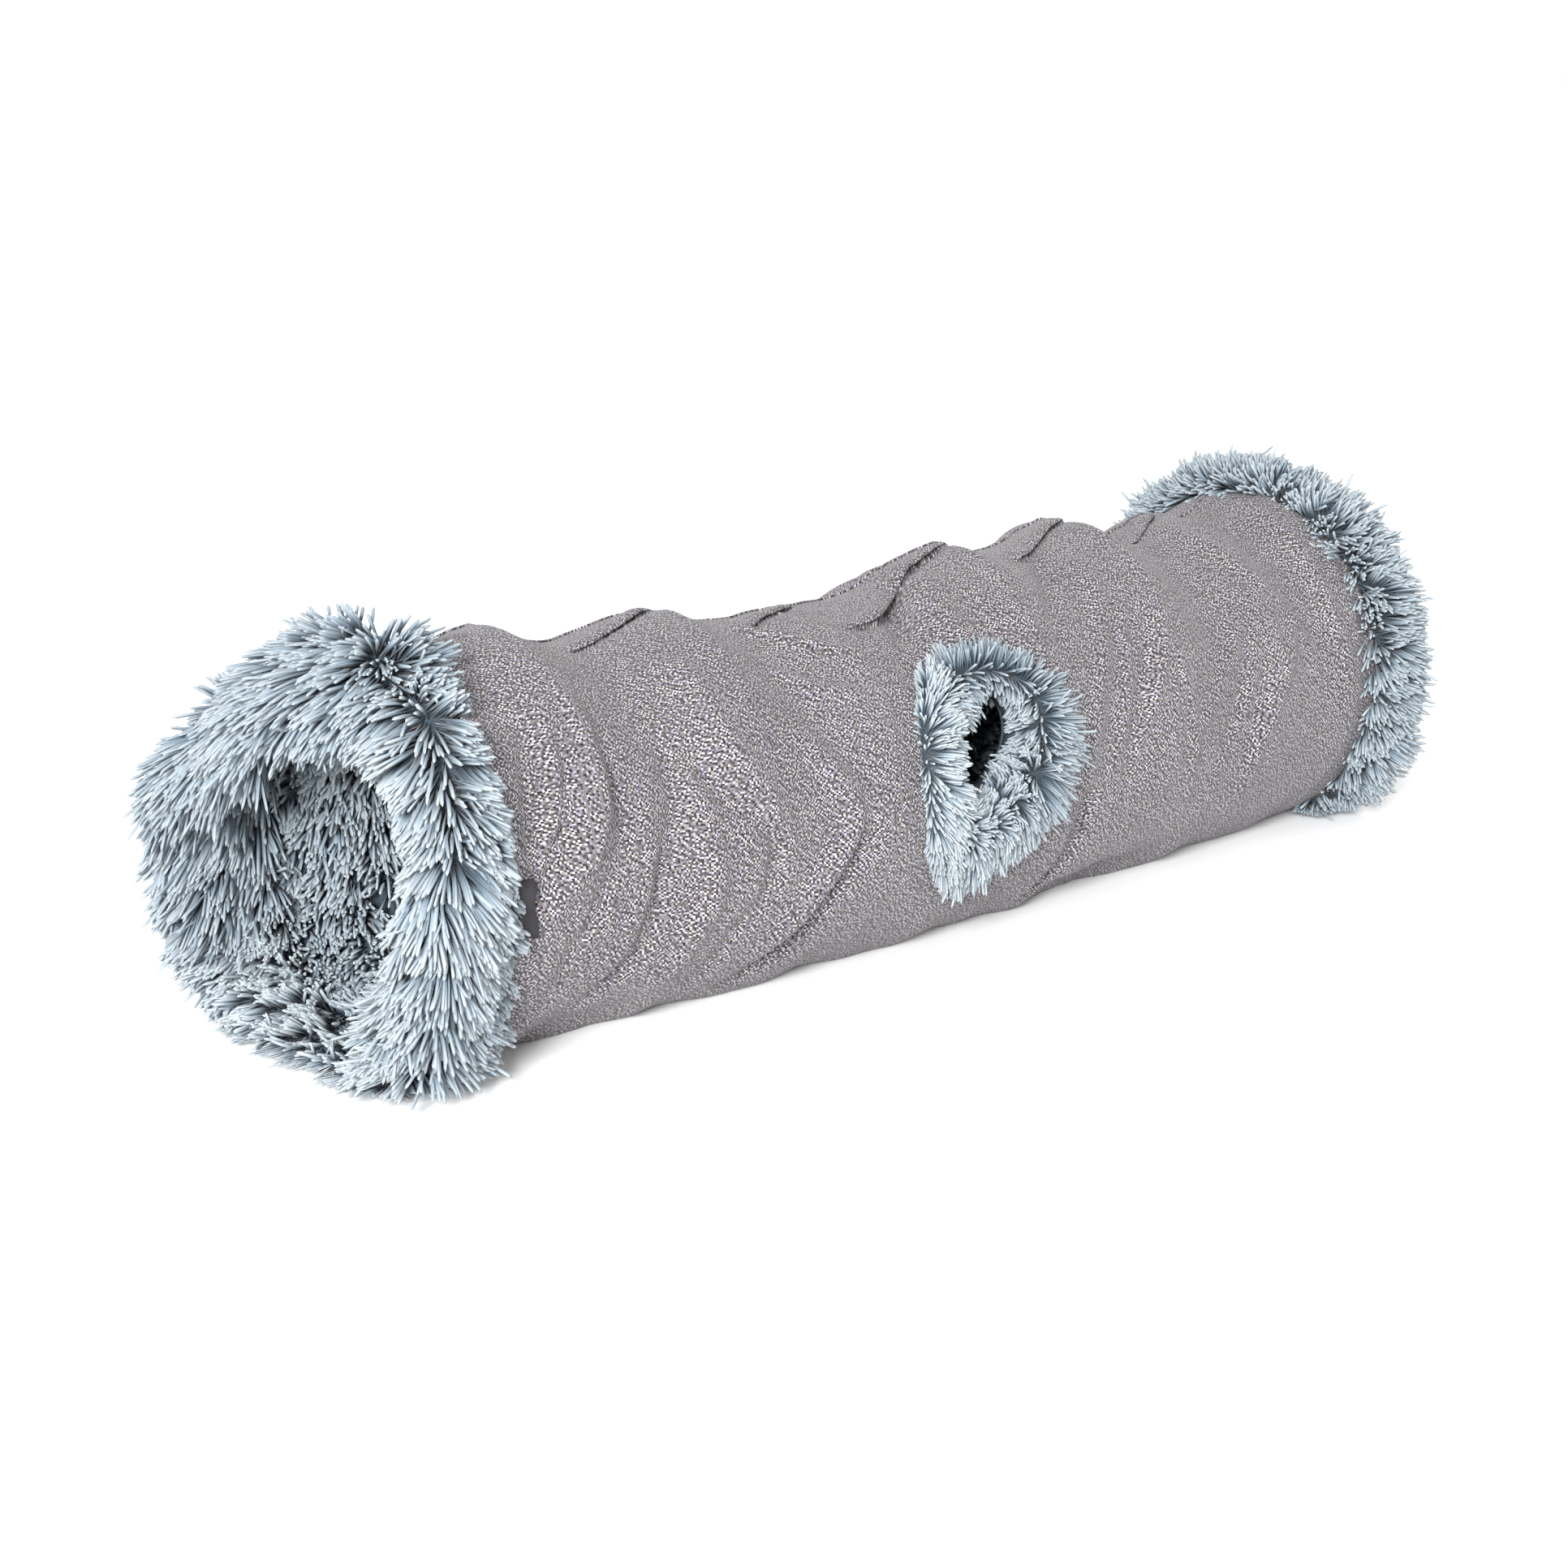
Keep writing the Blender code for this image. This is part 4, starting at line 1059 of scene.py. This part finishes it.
def make_near_cuff(material):
    """The deep cuff. It droops, hangs over the mouth, and is drawn back at its upper right."""
    reach = round_cuff((0, 1.0), (15, 0.90), (30, 0.77), (50, 0.62), (62, 0.66), (75, 0.88),
                       (90, 1.0), (205, 1.0), (240, 0.86), (300, 0.90), (345, 1.0))
    # The lip hangs furthest over the mouth just behind the top
    sag = 0.030 * np.exp(-((CUFF_ANGLES % 360 - 126.0) / 28.0) ** 2)
    skin, section = cuff_skin("near_cuff_plush", near_section, material, seam_station=0.0,
                              direction=-1, droop=0.024, reach=reach, sag=sag)
    front = section[:, 0].argmax()
    step = np.arange(len(section))[:, None]
    turn = np.radians(CUFF_ANGLES)
    parting = round_cuff((0, 0.72), (30, 0.66), (60, 0.50), (85, 0.0), (110, 0.0), (168, 0.78),
                         (360, 0.72))
    parting = parting + 0.08 * np.sin(5 * turn + 1) + 0.07 * np.sin(11 * turn)
    back = round_cuff((0, 0.45), (50, 0.45), (80, 0.22), (280, 0.22), (320, 0.45), (360, 0.45))
    gravity = round_cuff((0, 0.9), (180, 0.9), (215, 0.5), (240, -0.1), (300, -0.1), (335, 0.5),
                         (360, 0.9))
    brush(skin, section, direction=-1, parting=parting, back=back, gravity=gravity)

    # The pile is short beside the label, where the lip is drawn back, and on the floor
    by_seam = 1 - np.interp(section[:, :1], (0.0, 0.020, 0.042), (0.30, 0.42, 1.0))
    by_seam = by_seam * (step < front)
    beside_label = round_cuff((0, 1.0), (36, 1.0), (58, 0.5), (76, 0.0), (280, 0.0), (300, 0.35),
                              (322, 0.35), (342, 1.0), (360, 1.0))
    by_lip = np.interp(step, (front - 5, front - 1, front + 6, front + 12), (0.0, 0.45, 0.45, 0.2))
    drawn_back = round_cuff((0, 0.0), (18, 1.0), (62, 1.0), (82, 0.0))
    on_floor = round_cuff((205, 0.0), (230, 0.25), (305, 0.25), (320, 0.0))
    # Over the mouth the lip's pile hangs as a fringe, off shorter pile behind it
    hanging = np.interp(step, (front - 6, front - 2, front + 4, front + 7), (0.0, 0.2, 0.2, -0.45))
    fringe = round_cuff((80, 0.0), (100, 1.0), (150, 1.0), (172, 0.0))
    shag = 1.0 - by_seam * beside_label - by_lip * drawn_back - on_floor + hanging * fringe
    # Painted shade over the top and the back of the cuff, and painted light on its underside by the
    # floor
    pale = round_cuff((0, 0.0), (50, 0.0), (70, -0.35), (150, -0.35), (205, -0.2), (235, 0.25),
                      (300, 0.25), (330, 0.0))
    grow_cuff(skin, section, (
        ("near_cuff_pile_outer", 0, front - 2, 31),
        ("near_cuff_pile_lip", front - 2, front + 6, 32),
        ("near_cuff_pile_mouth", front + 6, len(section), 33),
    ), "near_end", {
        "Spacing": 0.0019, "Length": 0.027, "Radius": 0.0012, "Lean": 1.5, "Lock size": 0.016,
        "Lock spread": 1.5, "Lock pull": 0.5, "Droop": 0.15, "Unruly": 0.4}, shag, pale)
    attach(skin, "near_end", "plush_pile", "near_cuff")


def make_far_cuff(material):
    """The short cuff, whose pile is shorter beside the three loops and bare under them."""
    skin, section = cuff_skin("far_cuff_plush", far_section, material,
                              seam_station=FABRIC_LENGTH, direction=1, droop=0.003,
                              reach=np.ones(CUFF_COLUMNS), sag=0.0)
    front = section[:, 0].argmax()
    step = np.arange(len(section))[:, None]
    brush(skin, section, direction=1, parting=-0.3, back=0.22, gravity=0.3)
    from_cord = np.min([degrees_off(cord) for cord in CORD_ANGLES], axis=0)
    beside_cords = np.clip((9.0 - from_cord) / 4.0, 0.0, 1.0)
    before_roll = np.clip((0.014 - section[:, :1]) / 0.006, 0.0, 1.0) * (step < front)
    shag = 1.0 - (0.25 + 0.45 * before_roll) * beside_cords
    grow_cuff(skin, section, (
        ("far_cuff_pile_outer", 0, front + 2, 41),
        ("far_cuff_pile_mouth", front + 2, len(section), 42),
    ), "far_end", {
        "Spacing": 0.0017, "Length": 0.024, "Radius": 0.0011, "Lean": 0.4, "Lock size": 0.014,
        "Lock spread": 0.9, "Lock pull": 0.4, "Unruly": 0.35}, shag, -0.05, bare_angles=CORD_ANGLES)
    attach(skin, "far_end", "plush_pile", "far_cuff")


# Trim round the peephole

TRIM_RING_POINTS = 96
TRIM_BASE_LIFT = 0.0015
TRIM_CROWN = 0.009
trim_rows = ((0.0, 0.0), (0.0, 0.7), (0.10, 1.0), (0.3, 1.0), (0.5, 0.9), (0.7, 0.75),
             (0.88, 0.45), (1.0, 0.0), (0.66, 0.0), (0.33, 0.0))


def straight_edge(across):
    """The patch's near edge, bowed so that it looks straight from the camera."""
    return -0.070 + 3.3 * (across + 0.030) ** 2


def trim_edge(turn):
    """The patch's outer edge: straight on the near side, round elsewhere."""
    x, y = np.cos(turn), np.sin(turn)
    across = np.where(y > 0, 0.076, 0.103 - 0.020 * np.clip(2 * x, 0.0, 1.0)) * y
    round_way = np.where(y > 0, 0.078 * x, 0.076 * np.abs(x) ** 1.2)
    return np.where(x > 0, round_way, straight_edge(across) * np.abs(x) ** 0.15), across


# How the strip along the straight edge is brushed: at each height, its way along and across
strip_heights = (-0.100, -0.060, -0.010, 0.030, 0.075)
strip_along = (0.25, 0.60, 0.85, 0.70, 0.25)
strip_across = (-0.95, -0.70, -0.25, 0.20, 0.80)


def make_trim(material):
    turns = np.linspace(0, 2 * math.pi, TRIM_RING_POINTS, endpoint=False)
    edge_along, edge_across = trim_edge(turns)
    hole_along, hole_across = hole_outline(turns - HOLE_LEAN)
    rings, growth, lay, shag, pale = [], [], [], [], []
    for out, up in trim_rows:
        along = hole_along + out * (edge_along - hole_along)
        across = hole_across + out * (edge_across - hole_across)
        rings.append(near_hole(along, across, -(TRIM_BASE_LIFT + up * TRIM_CROWN)))
        inward = np.clip((0.42 - out) / 0.08, -1.0, 1.0)
        radial = np.stack([along, across - HOLE_ACROSS], -1)
        radial /= np.linalg.norm(radial, axis=1)[:, None]
        strip = np.clip((0.028 - along + straight_edge(across)) / 0.012, 0.0, 1.0)[:, None]
        brushed = np.stack([np.interp(across, strip_heights, strip_along),
                            np.interp(across, strip_heights, strip_across)], -1)
        brushed *= 1.3 if out > 0.8 else 1.0
        way = -inward * radial * (1 - strip) + brushed * strip
        angle = np.radians(PEEPHOLE_ANGLE) + across / HOOP_RADIUS
        # At the opening the pile folds over the edge and hides it
        sink = 0.9 if out == 0.0 else 0.0
        lay.append(np.stack([way[:, 0], way[:, 1] * np.sin(angle) + sink * np.cos(angle),
                             way[:, 1] * np.cos(angle) - sink * np.sin(angle) - 0.2], -1))
        growth.append(np.full(TRIM_RING_POINTS, up > 0.0 or out in (0.0, 1.0)) * 1.0)
        far_side = np.clip(radial[:, 0] * 2.0, 0.0, 1.0)
        # Beside the opening the pile is longest at its upper left and lower right
        inner = max(1.0 - out / 0.5, 0.0)
        near_beside = np.interp(across, (-0.04, 0.0, 0.03, 0.05), (0.30, 0.42, 0.75, 0.95))
        near_beyond = np.interp(out, (0.5, 0.7, 0.88, 1.0), (0.75, 0.9, 0.7, 0.3))
        far_beside = np.interp(across, (-0.04, 0.0, 0.04), (0.75, 0.62, 0.45))
        near_shag = inner * near_beside + (1 - inner) * near_beyond
        far_shag = inner * far_beside + 1 - inner
        shag.append(near_shag + (far_shag - near_shag) * far_side)
        high = np.clip((across - 0.035) / 0.02, 0.0, 1.0) * np.clip((along + 0.04) / 0.02, 0.0, 1.0)
        low = np.clip((-across - 0.045) / 0.02, 0.0, 1.0)
        pale.append(0.9 * strip[:, 0] + 0.4 * low - 0.35 * high)
    trim = loft("peephole_plush", rings, material)
    for name, values in (("growth", growth), ("lay", lay), ("shag", shag), ("pale", pale)):
        set_attribute(trim, name, np.concatenate(values))
    tufts = pile("peephole_pile", trim, 51, {
        "Spacing": 0.0015, "Length": 0.0205, "Radius": 0.0009, "Lean": 1.7, "Lock size": 0.013,
        "Lock spread": 0.9, "Lock pull": 0.5, "Unruly": 0.35})
    along_tunnel(tufts, "plush_pile")
    along_tunnel(trim, "plush_pile", "peephole_trim")


def make_binding(material):
    """The rolled edge of cover and lining round the opening."""
    turns = np.linspace(0, 2 * math.pi, 64, endpoint=False)
    inner = LINING_DEPTH + LINING_BACKING + 0.002
    rings = []
    for grow, depth in ((0.0, -0.001), (0.001, 0.004), (0.001, inner), (-0.003, inner),
                        (-0.003, 0.004), (-0.002, -0.001)):
        along, across = hole_outline(turns, grow)
        rings.append(near_hole(along, across, depth))
    binding = loft("peephole_edge", rings, material)
    along_tunnel(binding, "plush_lining", "peephole_binding")


# Loops

LOOP_STATION = FABRIC_LENGTH - 0.0035
LOOP_HALF_WIDTH = 0.0024
LOOP_HALF_LENGTH = 0.0046
LOOP_CORD_RADIUS = 0.0017


def make_loops(material):
    """Tight loops of thick elastic that stand up at the far seam."""
    turns = np.linspace(0, 2 * math.pi, 24, endpoint=False)
    for number, angle in enumerate(CORD_ANGLES, 1):
        foot = cover_radius(LOOP_STATION, angle)
        rings = []
        for around_cord in np.linspace(0, 2 * math.pi, 10, endpoint=False):
            wide = LOOP_HALF_WIDTH + LOOP_CORD_RADIUS * math.cos(around_cord)
            high = LOOP_HALF_LENGTH + LOOP_CORD_RADIUS * math.cos(around_cord)
            beside = angle + np.degrees(wide * np.sin(turns) / HOOP_RADIUS)
            station = LOOP_STATION + LOOP_CORD_RADIUS * math.sin(around_cord)
            radius = foot + LOOP_HALF_LENGTH + 0.001 - high * np.cos(turns)
            rings.append(tube_points(station, beside, radius, 0.0))
        loop = loft(f"closing_loop_{number}", rings, material)
        attach(loop, f"loop_{number}_root", "elastic_cord", f"elastic_loop_{number}")


# Label

label_section = ((0.0008, 0.0006), (0.006, 0.0016), (0.012, 0.0034), (0.0158, 0.0052),
                 (0.0164, 0.0046), (0.0124, 0.0026), (0.0064, 0.0009), (0.0010, 0.0001))
LABEL_LOW_ANGLE = -9.0
LABEL_HIGH_ANGLE = 6.0


def make_label(material):
    """A bare tab of tape, folded double and caught in the near seam, its free edge standing off."""
    angles = np.linspace(LABEL_LOW_ANGLE, LABEL_HIGH_ANGLE, 14)
    rows = [tube_points(s, angles, cover_radius(s, angles) + lift, 0.0)
            for s, lift in label_section]
    grid = np.array(rows).transpose(1, 0, 2)
    label = mesh_object("side_tab", grid, strip_faces(*grid.shape[:2]), material)
    attach(label, "near_end", "label_tape", "side_label")


# Wire

POINTS_PER_TURN = 64
# The wound wire ends a little short, and stays clear of the closed turns at both ends
COIL_END_SHARE = 0.003
COIL_END_CLEARANCE = 0.0063


def make_coil(material):
    turns = np.linspace(first_turn_share + COIL_END_SHARE, TURNS - COIL_END_SHARE,
                        POINTS_PER_TURN * TURNS)
    stations = np.clip(turn_station(turns), COIL_END_CLEARANCE, FABRIC_LENGTH - COIL_END_CLEARANCE)
    path = layer(stations, 90.0 + 360.0 * turns, WIRE_DEPTH)
    coil = grown("coil", line_object("coil_line", path), coil_tree(), {
        "Wire radius": WIRE_RADIUS, "Sides": 8, "Material": material})
    along_tunnel(coil, "spring_steel", *bays("coil_turn"))


# Stage and light

FLOOR_REACH = 40
FLOOR_LEVEL = -0.0005


def make_floor(material):
    """A wide level board for the floor."""
    corners = [(x * FLOOR_REACH, y * FLOOR_REACH, FLOOR_LEVEL)
               for x, y in ((-1, -1), (1, -1), (1, 1), (-1, 1))]
    mesh_object("floor", corners, [(0, 1, 2, 3)], material)


def add_light():
    """A white studio, and one soft lamp to the near left."""
    world = bpy.data.worlds.new("studio")
    bpy.context.scene.world = world
    world.use_nodes = True
    fill(world.node_tree.nodes["Background"], {"Color": linear("#ffffff"), "Strength": 1.04})
    data = bpy.data.lights.new("key", "AREA")
    data.shape = "DISK"
    data.size = 2.0
    data.energy = 950.0
    lamp = in_scene("key", data)
    lamp.location = (-5.4, -3.9, 2.6)
    aim = lamp.location - Vector((0.0, 0.0, 0.15))
    lamp.rotation_euler = aim.to_track_quat("Z", "Y").to_euler()
    bpy.context.scene.view_settings.view_transform = "Standard"


# Assembly

add_camera()
WOVEN = woven_polyester()
PILE = plush_fibre()
# The fuzzy knitted ground that the pile is looped through, in the colour of the pile's roots. Its
# darkness is partly painted shade, where it shows between the tufts
BACKING = patterned(
    "plush_knit_backing", NOISE, {"Scale": 420.0, "Detail": 3.0},
    ((0.3, "#232c35"), (0.7, "#3a4650")), {"Strength": 0.6, "Distance": 0.001}, {"Roughness": 0.9})
# Satin label tape, charcoal, with fine crosswise ribs, coarser than real ones so that they show
TAPE = patterned(
    "woven_label_tape", WAVE, {"Scale": 400.0, "Distortion": 0.4},
    ((0.0, "#1b1a1f"), (1.0, "#2b292f")), {"Strength": 0.3, "Distance": 0.0003},
    {"Roughness": 0.7}, bands_direction="Z")
# Round black elastic, whose sleeve shows its slanting braid
ELASTIC = patterned(
    "braided_black_elastic", WAVE, {"Scale": 700.0, "Distortion": 2.0},
    ((0.0, "#0c0c0e"), (1.0, "#242427")), {"Strength": 0.5, "Distance": 0.0002},
    {"Roughness": 0.75}, bands_direction="DIAGONAL")
# Black injection-moulded acetal, with a fine satin texture from the mould
ACETAL = patterned(
    "moulded_black_acetal", NOISE, {"Scale": 2500.0, "Detail": 2.0},
    ((0.3, "#141416"), (0.7, "#1f1f22")), {"Strength": 0.2, "Distance": 0.0001},
    {"Roughness": 0.42})
# Drawn and crimped metal: fine scratches vary its tone
SPRING_STEEL, BRASS = (
    patterned(name, NOISE, {"Scale": 900.0, "Detail": 4.0}, ((0.3, dark), (0.7, light)), None,
              {"Metallic": 1.0, "Roughness": roughness})
    for name, dark, light, roughness in (
        ("drawn_spring_steel", "#6f7073", "#a3a4a6", 0.35),
        ("crimped_brass", "#8a7440", "#bfa566", 0.4)))
# Matt white studio board, almost even
BOARD = patterned(
    "matt_studio_board", NOISE, {"Scale": 2.0}, ((0.0, "#fafafa"), (1.0, "#fcfcfc")), None,
    {"Roughness": 0.9, "Specular IOR Level": 0.1})
PILE_TREE = pile_tree()

cutter = hole_cutter()
make_cover(WOVEN, cutter)
make_closing_seam(WOVEN)
make_laps(WOVEN)
make_lining(BACKING, cutter)
bpy.data.objects.remove(cutter)
make_binding(BACKING)
make_coil(SPRING_STEEL)
make_label(TAPE)
grow_lining()
make_near_cuff(BACKING)
make_far_cuff(BACKING)
make_trim(BACKING)
make_loops(ELASTIC)

for name, material in (
    ("near_hoop", SPRING_STEEL), ("far_hoop", SPRING_STEEL),
    ("near_ferrule", BRASS), ("far_ferrule", BRASS),
    *((f"toggle_cord_{k}", ELASTIC) for k in (1, 2, 3)),
    *((f"toggle_{k}", ACETAL) for k in (1, 2, 3)),
):
    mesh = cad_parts[name].data
    mesh.materials.clear()
    mesh.materials.append(material)

make_floor(BOARD)
add_light()
